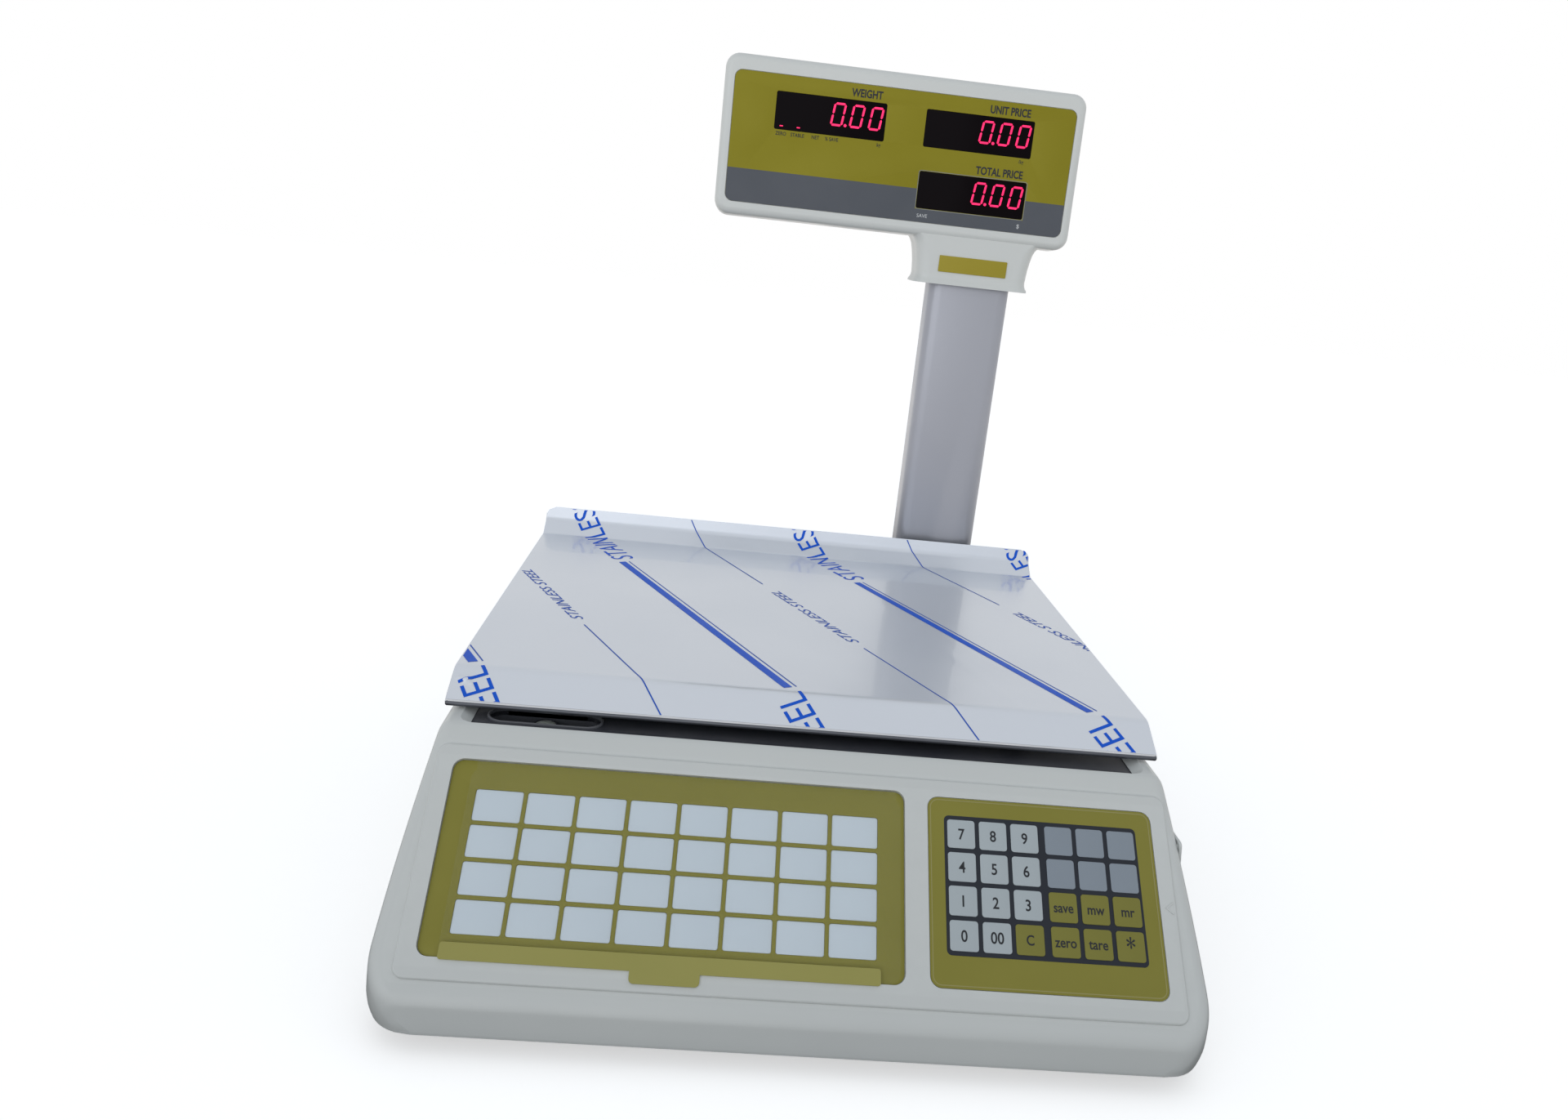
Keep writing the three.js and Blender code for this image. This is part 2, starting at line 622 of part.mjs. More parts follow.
function platter() {
  const x = platterHalfWidth;
  const sheet = new THREE.ExtrudeGeometry(platterProfile(), {
    depth: 2 * x, bevelEnabled: false, curveSegments: 5,
  });
  sheet.applyMatrix4(new THREE.Matrix4().set(0, 0, 1, -x, 1, 0, 0, 0, 0, 1, 0, 0, 0, 0, 0, 1));
  const outline = roundedOutline(-x, x, 60, backLip.z, backLip.corner);
  const trimmed = intersect(sheet, extrudeBack(outline, 60, 420));
  const flanges = [-1, 1].map((side) => box(
    Math.min(side * x, side * (x - platterSheet)), Math.max(side * x, side * (x - platterSheet)),
    platterFlat.front + 8, platterFlat.back - 8, platterTop - sideFlange, platterTop - 0.2,
  ));
  return join(trimmed, ...flanges);
}

// ---------------------------------------------------------------- electronics in the base

function block({ x0, x1, y0, y1, z0, z1 }) {
  return box(x0, x1, y0, y1, z0, z1);
}

function powerInlet() {
  const { x, z, width, height, depth } = inlet;
  const plate = box(x - 20, x + 20, bodyDepth + gap, bodyDepth + 2.3, z - 12, z + 12);
  const body = box(x - width / 2, x + width / 2, bodyDepth - depth, bodyDepth + 1, z - height / 2, z + height / 2);
  const well = box(x - 12, x + 12, bodyDepth - 15, bodyDepth + 9, z - 7.5, z + 7.5);
  return cut(join(plate, body), well);
}

function switchFrame() {
  const { width, height } = powerSwitch;
  const flange = box(gap, 1.6, -width / 2 - 1.6, width / 2 + 1.6, -height / 2 - 1.6, height / 2 + 1.6);
  const body = box(-16, 1, -width / 2 + gap, width / 2 - gap, -height / 2 + gap, height / 2 - gap);
  const mouth = box(-8, 9, -width / 2 + 1.4, width / 2 - 1.4, -height / 2 + 1.4, height / 2 - 1.4);
  return cut(join(flange, body), mouth).applyMatrix4(switchMatrix(0));
}

// A rocker that turns about an axis along y, with its lower half pressed in at rest.
function switchRocker() {
  const { width, height } = powerSwitch;
  const reach = height / 2 - 2.4;
  const shape = new THREE.Shape();
  shape.moveTo(-3.5, -3);
  shape.lineTo(0.9, -reach);
  shape.quadraticCurveTo(0.4, 0, 2.6, reach);
  shape.lineTo(-3.5, 3);
  const depth = width - 3.6;
  const wedge = new THREE.ExtrudeGeometry(shape, { depth, bevelEnabled: false, curveSegments: 4 });
  wedge.translate(0, 0, -depth / 2);
  wedge.applyMatrix4(new THREE.Matrix4().set(1, 0, 0, 0, 0, 0, 1, 0, 0, 1, 0, 0, 0, 0, 0, 1));
  return facingOut(mergeVertices(bare(wedge))).applyMatrix4(switchMatrix(0));
}

function bare(geometry) {
  geometry.deleteAttribute("normal");
  geometry.deleteAttribute("uv");
  return geometry;
}

// ---------------------------------------------------------------- column

function columnOutline(grow) {
  return roundedOutline(
    columnX - column.width / 2 - grow, columnX + column.width / 2 + grow,
    columnY - column.depth / 2 - grow, columnY + column.depth / 2 + grow, column.corner + grow,
  );
}

// The way through from the housing into the column for the display cable.
function cableMouth(y0, y1) {
  const { halfWidth, bottom, top } = cableWay;
  return box(columnX - halfWidth, columnX + halfWidth, y0, y1, bottom, top);
}

function columnTube() {
  const tube = extrudeUp(columnOutline(0), column.bottom, column.top, 3);
  const bore = extrudeUp(columnOutline(-column.wall), column.bottom - 9, column.top + 9, 3);
  return cut(tube, bore, cableMouth(columnY - column.depth, columnY));
}

function bracketScrewPlaces() {
  const { edge, inFromEnds } = bracketScrewSize;
  const reach = bracket.flangeHalfWidth - edge;
  return [-1, 1].flatMap((side) => [bracket.bottom + inFromEnds, bracket.top - inFromEnds]
    .map((z) => [columnX + side * reach, z]));
}

function screwHole(x, z) {
  return rod(0, 0, -30, 30, bracketScrewSize.hole, 12).rotateX(Math.PI / 2).translate(x, bodyDepth, z);
}

// A socket for the foot of the column, with a flange that is screwed to the back of the housing.
function columnBracket() {
  const { bottom, top, wall: thick, flangeHalfWidth } = bracket;
  const socket = extrudeUp(columnOutline(thick), bottom, top, 3);
  const flange = box(columnX - flangeHalfWidth, columnX + flangeHalfWidth,
    bodyDepth + gap, bodyDepth + gap + bracket.flange, bottom + 2, top - 2);
  const bore = extrudeUp(columnOutline(gap), bottom + 3, top + 9, 3);
  const holes = bracketScrewPlaces().map(([x, z]) => screwHole(x, z));
  return cut(join(socket, flange), bore, cableMouth(bodyDepth - 9, columnY), ...holes);
}

function bracketScrew([x, z]) {
  const { shank: shankRadius, headRadius, headHeight } = bracketScrewSize;
  const headY = bodyDepth + 2 * gap + bracket.flange;
  const shank = rod(0, 0, -headY - 0.5, -(bodyDepth - 8), shankRadius, 12);
  const screwHead = rod(0, 0, -headY - headHeight, -headY, headRadius, 16);
  return join(shank, screwHead).rotateX(Math.PI / 2).translate(x, 0, z);
}

// The cable from the main board up to the head, inside the column.
function columnCable() {
  const path = new THREE.CatmullRomCurve3([
    [columnX, bodyDepth - 20, 37], [columnX, bodyDepth + 4, 37], [columnX, columnY - 6, 40],
    [columnX, columnY, 56], [columnX, columnY, 180], [columnX, columnY, 312], [columnX, columnY, 341],
  ].map((point) => new THREE.Vector3(...point)), false, "centripetal");
  const section = new THREE.Shape().absarc(0, 0, cableRadius, 0, Math.PI * 2);
  return new THREE.ExtrudeGeometry(section, { steps: 24, extrudePath: path, curveSegments: 3 });
}

// ---------------------------------------------------------------- display head

// A face frame: x to the viewer's right, z up the face, y into the head, origin low on the face.
function faceMatrix(turned) {
  const tilt = new THREE.Matrix4().makeRotationX(-headTilt).setPosition(0, -head.halfDepth, 0);
  const turn = new THREE.Matrix4().makeRotationZ(turned ? Math.PI : 0);
  const place = new THREE.Matrix4().setPosition(head.x, columnY, head.bottom);
  return place.multiply(turn).multiply(tilt);
}

function onFace(geometry, turned) {
  return geometry.clone().applyMatrix4(faceMatrix(turned));
}

function headRing(inset, y) {
  const half = head.width / 2 - inset;
  const radius = Math.max(head.corner - inset, 1.5);
  const outline = roundedOutline(-half, half, inset, head.height - inset, radius);
  return outline.getPoints(3).slice(0, -1).map((point) => new THREE.Vector3(point.x, y, point.y));
}

// The outside of one half of the head, its front edges rounded, running past the parting plane.
function headBlank(inset, depth) {
  const rings = [[head.edge * 0.9, 0], [head.edge * 0.42, 0.5], [head.edge * 0.12, 2.2], [0, head.edge]]
    .map(([pull, y]) => headRing(pull + inset, y + inset));
  rings.push(headRing(inset, depth));
  return loft(rings);
}

function labelArea(inset) {
  const { x, z, width, height } = label;
  return [
    x - width / 2 + inset, x + width / 2 - inset, z - height / 2 + inset, z + height / 2 - inset,
    label.corner - inset,
  ];
}

function windowBox(place, grow, y0, y1) {
  const x = label.x + place.x;
  const z = label.z + place.z;
  const halfWidth = windowWidth / 2 + grow;
  const halfHeight = windowHeight / 2 + grow;
  return box(x - halfWidth, x + halfWidth, y0, y1, z - halfHeight, z + halfHeight);
}

function neckRing(z, width, grow) {
  const { x } = neck;
  const outline = roundedOutline(
    x - width / 2 - grow, x + width / 2 + grow,
    columnY - neck.depth / 2 - grow, columnY + neck.depth / 2 + grow, neck.corner,
  );
  return outline.getPoints(2).slice(0, -1).map((point) => new THREE.Vector3(point.x, point.y, z));
}

function neckBlank() {
  const z = neck.bottom;
  return loft([
    neckRing(z, neck.width, neck.flare), neckRing(z + 2, neck.width, neck.flare * 0.4),
    neckRing(z + 6, neck.width, 0), neckRing(z + 20, neck.topWidth, 0),
    neckRing(z + 25, neck.topWidth + 3, 0), neckRing(z + 32, neck.topWidth + 15, 0),
  ]);
}

// One half of the head and neck: front when turned is false, back when it is true.
function headShell(turned) {
  const outside = onFace(headBlank(0, head.halfDepth * 2), turned);
  const inside = onFace(headBlank(head.wall, head.halfDepth * 2 + 9), turned);
  const windows = Object.values(windowPlaces)
    .map((place) => onFace(windowBox(place, 1.5, -9, 9), turned));
  const recess = onFace(extrudeBack(roundedOutline(...labelArea(0)), -9, label.thickness + 0.1), turned);
  const half = turned
    ? box(-200, 300, columnY - 60, columnY + gap / 2, 250, 500)
    : box(-200, 300, columnY - gap / 2, columnY + 60, 250, 500);
  const neckHollow = extrudeUp(columnOutline(gap), neck.bottom - 9, head.bottom + 8, 3);
  const plateSeat = neckPlateBox(gap, turned ? 60 : 0);
  return cut(
    join(outside, neckBlank()), inside, recess, ...windows, half, neckHollow, plateSeat,
  );
}

function neckPlateBox(grow, away) {
  const { x, z, width, height, thickness } = neckPlate;
  const face = columnY - neck.depth / 2 - away;
  return box(
    x - width / 2 - grow, x + width / 2 + grow, face - 2 * grow, face + thickness + grow,
    z - height / 2 - grow, z + height / 2 + grow,
  );
}

function displayLabel(turned) {
  const sheet = extrudeBack(roundedOutline(...labelArea(gap)), 0, label.thickness - gap / 2);
  const windows = Object.values(windowPlaces).map((place) => windowBox(place, 0, -9, 9));
  return onFace(cut(sheet, ...windows), turned);
}

function displayFilter(turned) {
  const y = head.wall + gap;
  const { halfWidth, bottom, top, filter } = display;
  return onFace(box(-halfWidth, halfWidth, y, y + filter, bottom, top), turned);
}

function displayBoard(turned) {
  const { halfWidth, bottom, top, boardFront, board } = display;
  return onFace(box(-halfWidth, halfWidth, boardFront, boardFront + board, bottom, top), turned);
}

function ledModule(place, turned) {
  const front = head.wall + display.filter + 2 * gap;
  return onFace(windowBox(place, -1.5, front, display.boardFront - gap), turned);
}

// ---------------------------------------------------------------- assembly

function addEach(group, prefix, places, make, finish) {
  for (const [side, place] of Object.entries(places)) {
    group.add(part(`${prefix}_${side}`, make(place), finish));
  }
}

function baseGroup() {
  const group = new THREE.Group();
  group.add(part("upper_housing", upperHousing(), warmWhite));
  group.add(part("bottom_pan", bottomPan(), warmWhite));
  group.add(part("battery_door", batteryDoor(), warmWhite));
  group.add(part("platform_cover", platformCover(), blackPlastic));
  group.add(part("level_vial", levelVial(), vialGreen));
  group.add(part("base_frame", baseFrame(), castMetal));
  addEach(group, "foot_pad", footPlaces(), footPad, rubberBlack);
  addEach(group, "foot_stud", footPlaces(), footStud, zincSteel);
  addEach(group, "overload_stop", postPlaces(), overloadStop, zincSteel);
  group.add(part("preset_keypad", presetKeypad(), oliveGold));
  group.add(part("price_keypad", priceKeypad(), oliveGold));
  group.add(part("preset_cover", presetCover(), clearPlastic));
  return group;
}

function worksGroup() {
  const group = new THREE.Group();
  const lowerBottom = frame.bottom + frame.thickness + gap;
  group.add(part("cell_spacer_lower", cellSpacer(-1, lowerBottom), zincSteel));
  group.add(part("load_cell", loadCell(), castMetal));
  group.add(part("cell_spacer_upper", cellSpacer(1, cellTop + gap), zincSteel));
  group.add(part("spider", spider(), castMetal));
  addEach(group, "spider_pad", postPlaces(), spiderPad, rubberBlack);
  group.add(part("platter", platter(), stainless));
  return group;
}

function electricalGroup() {
  const group = new THREE.Group();
  group.add(part("main_board", block(mainBoardBox), boardGreen));
  group.add(part("power_board", block(powerBoardBox), boardGreen));
  const transformer = join(block(transformerCore), block(transformerCoil));
  group.add(part("transformer", transformer, transformerSteel));
  group.add(part("battery", join(block(batteryBlock), block(batteryTerminal)), batteryGrey));
  group.add(part("power_inlet", powerInlet(), blackPlastic));
  group.add(part("switch_frame", switchFrame(), blackPlastic));
  group.add(part("switch_rocker", switchRocker(), blackPlastic));
  return group;
}

function columnGroup() {
  const group = new THREE.Group();
  group.add(part("column_bracket", columnBracket(), warmWhite));
  group.add(part("column", columnTube(), columnGrey));
  group.add(part("column_cable", columnCable(), cableGrey));
  bracketScrewPlaces().forEach((place, i) => {
    group.add(part(`bracket_screw_${i + 1}`, bracketScrew(place), zincSteel));
  });
  return group;
}

function headGroup() {
  const group = new THREE.Group();
  for (const [side, turned] of [["front", false], ["rear", true]]) {
    group.add(part(`head_${side}_shell`, headShell(turned), warmWhite));
    group.add(part(`${side}_display_label`, displayLabel(turned), oliveGold));
    group.add(part(`${side}_display_filter`, displayFilter(turned), smokedPlastic));
    group.add(part(`${side}_display_board`, displayBoard(turned), boardGreen));
    for (const [value, place] of Object.entries(windowPlaces)) {
      group.add(part(`${side}_${value}_leds`, ledModule(place, turned), ledGrey));
    }
  }
  group.add(part("neck_plate", neckPlateBox(0, 0), oliveGold));
  return group;
}

const scale = new THREE.Group();
const overallDepth = columnY + head.halfDepth + head.corner * Math.sin(headTilt);
scale.position.y = -overallDepth / 2;
scale.add(baseGroup(), worksGroup(), electricalGroup(), columnGroup(), headGroup());

export default scale;
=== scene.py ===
import math
import bmesh
import bpy
from mathutils import Matrix, Vector


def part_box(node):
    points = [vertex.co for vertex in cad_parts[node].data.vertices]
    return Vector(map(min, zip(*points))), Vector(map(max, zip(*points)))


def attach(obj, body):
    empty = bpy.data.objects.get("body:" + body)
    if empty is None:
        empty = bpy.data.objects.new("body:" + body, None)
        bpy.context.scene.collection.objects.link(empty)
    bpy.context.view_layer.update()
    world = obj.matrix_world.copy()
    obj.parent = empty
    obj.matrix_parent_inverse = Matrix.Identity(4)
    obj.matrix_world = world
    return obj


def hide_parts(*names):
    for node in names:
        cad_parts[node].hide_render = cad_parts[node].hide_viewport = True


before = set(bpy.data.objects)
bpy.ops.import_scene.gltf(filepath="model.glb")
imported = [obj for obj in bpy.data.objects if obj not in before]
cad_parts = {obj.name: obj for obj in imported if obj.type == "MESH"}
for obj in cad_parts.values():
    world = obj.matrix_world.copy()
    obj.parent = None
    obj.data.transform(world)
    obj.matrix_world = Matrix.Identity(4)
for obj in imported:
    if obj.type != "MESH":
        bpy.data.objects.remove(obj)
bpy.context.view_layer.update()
print("stage: frame loaded,", len(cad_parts), "nodes")

# ---- frames of reference: lengths below are millimetres, x across, y back from the front, z up
mm = 0.001
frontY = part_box("upper_housing")[0].y
layout = Matrix.Translation((0, frontY, 0)) @ Matrix.Scale(mm, 4)


def turnedAbout(axis, degrees):
    return Matrix.Rotation(math.radians(degrees), 4, axis)


bodyShape = {
    "width": 350, "depth": 378, "bottom": 9, "top": 103.1, "wall": 3, "planCorner": 20,
    "topFillet": 6, "skirtLean": 2.5, "skirtTop": 22.3, "slope": 43.77, "widestAt": 18,
}
headShape = {
    "x": 44.1, "width": 232.9, "bottom": 335.6, "height": 97.9, "halfDepth": 19.3,
    "corner": 9, "edge": 5, "wall": 2.5, "tilt": 3.07,
}
columnPlace = {"x": 101.2, "y": 401, "width": 54, "depth": 30, "corner": 8, "wall": 2}

# deck: u across, v up the slope from the crease, n out of the slope
deckFrame = (layout @ Matrix.Translation((0, bodyShape["skirtLean"], bodyShape["skirtTop"]))
             @ turnedAbout("X", bodyShape["slope"]))


def faceFrame(turned):
    # a display face: u to its right, v up it, n out of it, origin at the middle of its lower edge
    return (layout @ Matrix.Translation((headShape["x"], columnPlace["y"], headShape["bottom"]))
            @ turnedAbout("Z", 180 if turned else 0)
            @ Matrix.Translation((0, -headShape["halfDepth"], 0))
            @ turnedAbout("X", 90 - headShape["tilt"]))


# ---- mesh helpers

def linked(name, mesh):
    piece = bpy.data.objects.new(name, mesh)
    bpy.context.scene.collection.objects.link(piece)
    return piece


def newPiece(name, points, faces, place=layout):
    mesh = bpy.data.meshes.new(name)
    mesh.from_pydata([place @ Vector(point) for point in points], [], faces)
    mesh.validate()
    shell = bmesh.new()
    shell.from_mesh(mesh)
    bmesh.ops.recalc_face_normals(shell, faces=shell.faces)
    shell.to_mesh(mesh)
    shell.free()
    return linked(name, mesh)


def baked(piece):
    # replaces a curve, text or modified mesh by its final mesh
    graph = bpy.context.evaluated_depsgraph_get()
    mesh = bpy.data.meshes.new_from_object(piece.evaluated_get(graph))
    name = piece.name
    place = piece.matrix_world.copy()
    bpy.data.objects.remove(piece)
    mesh.transform(place)
    return linked(name, mesh)


def welded(piece, distance=0.00002):
    shell = bmesh.new()
    shell.from_mesh(piece.data)
    bmesh.ops.remove_doubles(shell, verts=shell.verts, dist=distance)
    bmesh.ops.recalc_face_normals(shell, faces=shell.faces)
    shell.to_mesh(piece.data)
    shell.free()
    return piece


def roundedRect(u0, u1, v0, v1, corner, steps=6):
    points = []
    for centreU, centreV, start in ((u1 - corner, v0 + corner, -90), (u1 - corner, v1 - corner, 0),
                                    (u0 + corner, v1 - corner, 90), (u0 + corner, v0 + corner, 180)):
        for step in range(steps + 1):
            angle = math.radians(start + 90 * step / steps)
            points.append((centreU + corner * math.cos(angle), centreV + corner * math.sin(angle)))
    return points


def plate(name, outlines, low, high, place, bevel=0.0):
    # a flat plate between two heights: the first outline is its edge, the others are holes in it
    curve = bpy.data.curves.new(name, "CURVE")
    curve.dimensions = "2D"
    curve.fill_mode = "BOTH"
    curve.extrude = (high - low) / 2 - bevel
    curve.bevel_depth = bevel
    curve.bevel_resolution = 2
    curve.offset = -bevel
    for outline in outlines:
        spline = curve.splines.new("POLY")
        spline.points.add(len(outline) - 1)
        for point, (u, v) in zip(spline.points, outline):
            point.co = (u, v, 0, 1)
        spline.use_cyclic_u = True
    piece = linked(name, curve)
    piece.matrix_world = place @ Matrix.Translation((0, 0, (low + high) / 2))
    bpy.context.view_layer.update()
    return welded(baked(piece))


def loft(name, rings, place=layout, closed=False):
    # a skin through rings of equal length, with flat ends unless it closes on itself
    count = len(rings[0])
    points = [point for ring in rings for point in ring]
    faces = []
    for ring in range(len(rings) if closed else len(rings) - 1):
        here = ring * count
        there = (ring + 1) % len(rings) * count
        for i in range(count):
            j = (i + 1) % count
            faces.append((here + i, here + j, there + j, there + i))
    if not closed:
        faces.append(tuple(range(count - 1, -1, -1)))
        faces.append(tuple(range(len(points) - count, len(points))))
    return newPiece(name, points, faces, place)


def lathe(name, profile, place, steps=48):
    # turns (radius, height) points about the z axis of the given frame
    rings = []
    for step in range(steps):
        angle = 2 * math.pi * step / steps
        rings.append([(r * math.cos(angle), r * math.sin(angle), z) for r, z in profile])
    return welded(loft(name, rings, place, closed=True))


def block(name, low, high, place=layout, bevel=0.0):
    outline = [(low[0], low[1]), (high[0], low[1]), (high[0], high[1]), (low[0], high[1])]
    return plate(name, [outline], low[2], high[2], place, bevel)


def joined(name, pieces):
    shell = bmesh.new()
    for piece in pieces:
        shell.from_mesh(piece.data)
        bpy.data.objects.remove(piece)
    mesh = bpy.data.meshes.new(name)
    shell.to_mesh(mesh)
    shell.free()
    return linked(name, mesh)


def carved(piece, cutters, operation="DIFFERENCE"):
    for cutter in cutters:
        change = piece.modifiers.new("carve", "BOOLEAN")
        change.operation = operation
        change.solver = "MANIFOLD"
        change.object = cutter
    piece = baked(piece)
    for cutter in cutters:
        bpy.data.objects.remove(cutter)
    return piece


def smooth(piece, angle=35, bevel=0.0, segments=2):
    if bevel:
        soften = piece.modifiers.new("soften", "BEVEL")
        soften.width = bevel * mm
        soften.segments = segments
        soften.limit_method = "ANGLE"
        soften.angle_limit = math.radians(angle)
        soften.use_clamp_overlap = True
        piece = baked(piece)
    for polygon in piece.data.polygons:
        polygon.use_smooth = True
    piece.data.set_sharp_from_angle(angle=math.radians(angle))
    if bevel:
        weights = piece.modifiers.new("weights", "WEIGHTED_NORMAL")
        weights.keep_sharp = True
        piece = baked(piece)
    return piece


def lettering(name, words, capHeight, at, place, align="LEFT", thickness=0.05, lean=0.0, bold=0.0, width=1.0,
              length=None):
    text = bpy.data.curves.new(name, "FONT")
    text.body = words
    text.align_x = align
    text.size = capHeight / 0.70
    text.extrude = thickness
    text.offset = bold
    text.shear = lean
    text.resolution_u = 4
    piece = linked(name, text)
    bpy.context.view_layer.update()
    if length:
        width = length / (max(corner[0] for corner in piece.bound_box) - min(corner[0] for corner in piece.bound_box))
    piece.matrix_world = place @ Matrix.Translation(at) @ Matrix.Diagonal((width, 1, 1, 1))
    bpy.context.view_layer.update()
    return welded(baked(piece), 0.000002)


def settle(piece, body, slot, finish, *nodes):
    piece.data.materials.clear()
    piece.data.materials.append(finish)
    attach(piece, body)
    if nodes:
        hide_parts(*nodes)
    return piece


# ---- camera, floor and lights
cameraValues = {
    "place": (-0.05062, -0.60832, 0.32685), "pitch": -14.885, "yaw": 4.692, "roll": 6.427,
    "lens": 26.72, "shiftX": -0.01619, "shiftY": -0.00779,
}
lightValues = {
    "ambient": 0.56, "mirrored": 0.9, "backdrop": 1.0, "sun": 0.95, "sunSpread": 70, "sunHeight": 8,
    "sunFromLeft": 28, "floor": 0.88, "floorGlow": 0.5, "nearFloor": 0.05, "farFloor": 1.15,
    "nearReach": 0.42, "farReach": 0.85,
}


def addCamera():
    values = cameraValues
    pitch, yaw, roll = (math.radians(values[key]) for key in ("pitch", "yaw", "roll"))
    ahead = Vector((math.sin(yaw) * math.cos(pitch), math.cos(yaw) * math.cos(pitch), math.sin(pitch)))
    level = Vector((math.cos(yaw), -math.sin(yaw), 0))
    up = level.cross(ahead)
    right = math.cos(roll) * level + math.sin(roll) * up
    above = -math.sin(roll) * level + math.cos(roll) * up
    lens = bpy.data.cameras.new("camera")
    lens.sensor_width = 36
    lens.lens = values["lens"]
    lens.shift_x = values["shiftX"]
    lens.shift_y = values["shiftY"]
    lens.clip_start = 0.01
    camera = linked("camera", lens)
    turn = Matrix((right, above, -ahead)).transposed()
    camera.matrix_world = Matrix.Translation(values["place"]) @ turn.to_4x4()
    bpy.context.scene.camera = camera


def addWorld():
    # even light for soft shading, a brighter surround for reflections, and a white backdrop
    world = bpy.data.worlds.new("studio")
    bpy.context.scene.world = world
    world.use_nodes = True
    nodes, links = world.node_tree.nodes, world.node_tree.links
    path = nodes.new("ShaderNodeLightPath")
    base = nodes["Background"]
    base.inputs["Color"].default_value = (0.90, 0.95, 1.0, 1)
    base.inputs["Strength"].default_value = lightValues["ambient"]
    shown = base.outputs[0]
    for ray, key in (("Is Glossy Ray", "mirrored"), ("Is Camera Ray", "backdrop")):
        other = nodes.new("ShaderNodeBackground")
        other.inputs["Color"].default_value = (1, 1, 1, 1)
        other.inputs["Strength"].default_value = lightValues[key]
        choose = nodes.new("ShaderNodeMixShader")
        links.new(path.outputs[ray], choose.inputs[0])
        links.new(shown, choose.inputs[1])
        links.new(other.outputs[0], choose.inputs[2])
        shown = choose.outputs[0]
    links.new(shown, nodes["World Output"].inputs["Surface"])


def addFloor():
    # pale where it is seen; the light it throws back on the piece is weak close by and strong further out
    values = lightValues
    floor = newPiece("floor", [(-6, -6, 0), (6, -6, 0), (6, 6, 0), (-6, 6, 0)], [(0, 1, 2, 3)], Matrix())
    material = bpy.data.materials.new("paleFloor")
    material.use_nodes = True
    nodes, links = material.node_tree.nodes, material.node_tree.links
    shader = nodes["Principled BSDF"]
    shader.inputs["Base Color"].default_value = (values["floor"], values["floor"], values["floor"], 1)
    shader.inputs["Roughness"].default_value = 0.9
    shader.inputs["Emission Color"].default_value = (1, 1, 1, 1)
    shader.inputs["Emission Strength"].default_value = values["floorGlow"]
    place = nodes.new("ShaderNodeTexCoord")
    reach = nodes.new("ShaderNodeVectorMath")
    reach.operation = "LENGTH"
    links.new(place.outputs["Object"], reach.inputs[0])
    span = nodes.new("ShaderNodeMapRange")
    for key, value in (("From Min", "nearReach"), ("From Max", "farReach"), ("To Min", "nearFloor"),
                       ("To Max", "farFloor")):
        span.inputs[key].default_value = values[value]
    links.new(reach.outputs["Value"], span.inputs["Value"])
    bounce = nodes.new("ShaderNodeEmission")
    bounce.inputs["Color"].default_value = (1.0, 0.98, 0.95, 1)
    links.new(span.outputs["Result"], bounce.inputs["Strength"])
    path = nodes.new("ShaderNodeLightPath")
    choose = nodes.new("ShaderNodeMixShader")
    links.new(path.outputs["Is Camera Ray"], choose.inputs[0])
    links.new(bounce.outputs[0], choose.inputs[1])
    links.new(shader.outputs[0], choose.inputs[2])
    links.new(choose.outputs[0], nodes["Material Output"].inputs["Surface"])
    floor.data.materials.append(material)


def addSun():
    sun = bpy.data.lights.new("frontLight", "SUN")
    sun.energy = lightValues["sun"]
    sun.color = (0.96, 0.98, 1.0)
    sun.angle = math.radians(lightValues["sunSpread"])
    lamp = linked("frontLight", sun)
    lamp.matrix_world = turnedAbout("Z", -lightValues["sunFromLeft"]) @ turnedAbout("X", 90 - lightValues["sunHeight"])


bpy.context.scene.view_settings.view_transform = "Standard"
addCamera()
addWorld()
addFloor()
addSun()
print("stage: camera and studio")

# ---- shared node groups: each puts out values that vary over the surface


def linear(red, green, blue):
    def step(value):
        value /= 255
        return value / 12.92 if value <= 0.04045 else ((value + 0.055) / 1.055) ** 2.4
    return (step(red), step(green), step(blue), 1)


def newGroup(name, sockets):
    group = bpy.data.node_groups.new(name, "ShaderNodeTree")
    for direction, label, kind, value in sockets:
        socket = group.interface.new_socket(name=label, in_out=direction, socket_type=kind)
        if value is not None:
            socket.default_value = value
    return group, group.nodes.new("NodeGroupInput"), group.nodes.new("NodeGroupOutput")


def coordinates(nodes, links, stretch=None):
    source = nodes.new("ShaderNodeTexCoord")
    if stretch is None:
        return source.outputs["Object"]
    mapping = nodes.new("ShaderNodeMapping")
    mapping.inputs["Scale"].default_value = stretch
    links.new(source.outputs["Object"], mapping.inputs["Vector"])
    return mapping.outputs["Vector"]


def mathNode(nodes, links, operation, first, second=None, third=None):
    node = nodes.new("ShaderNodeMath")
    node.operation = operation
    for socket, value in zip(node.inputs, (first, second, third)):
        if isinstance(value, bpy.types.NodeSocket):
            links.new(value, socket)
        elif value is not None:
            socket.default_value = value
    return node.outputs[0]


def mixColour(nodes, links, share, first, second):
    node = nodes.new("ShaderNodeMix")
    node.data_type = "RGBA"
    for socket, value in ((node.inputs[0], share), (node.inputs[6], first), (node.inputs[7], second)):
        if isinstance(value, bpy.types.NodeSocket):
            links.new(value, socket)
        else:
            socket.default_value = value
    return node.outputs[2]


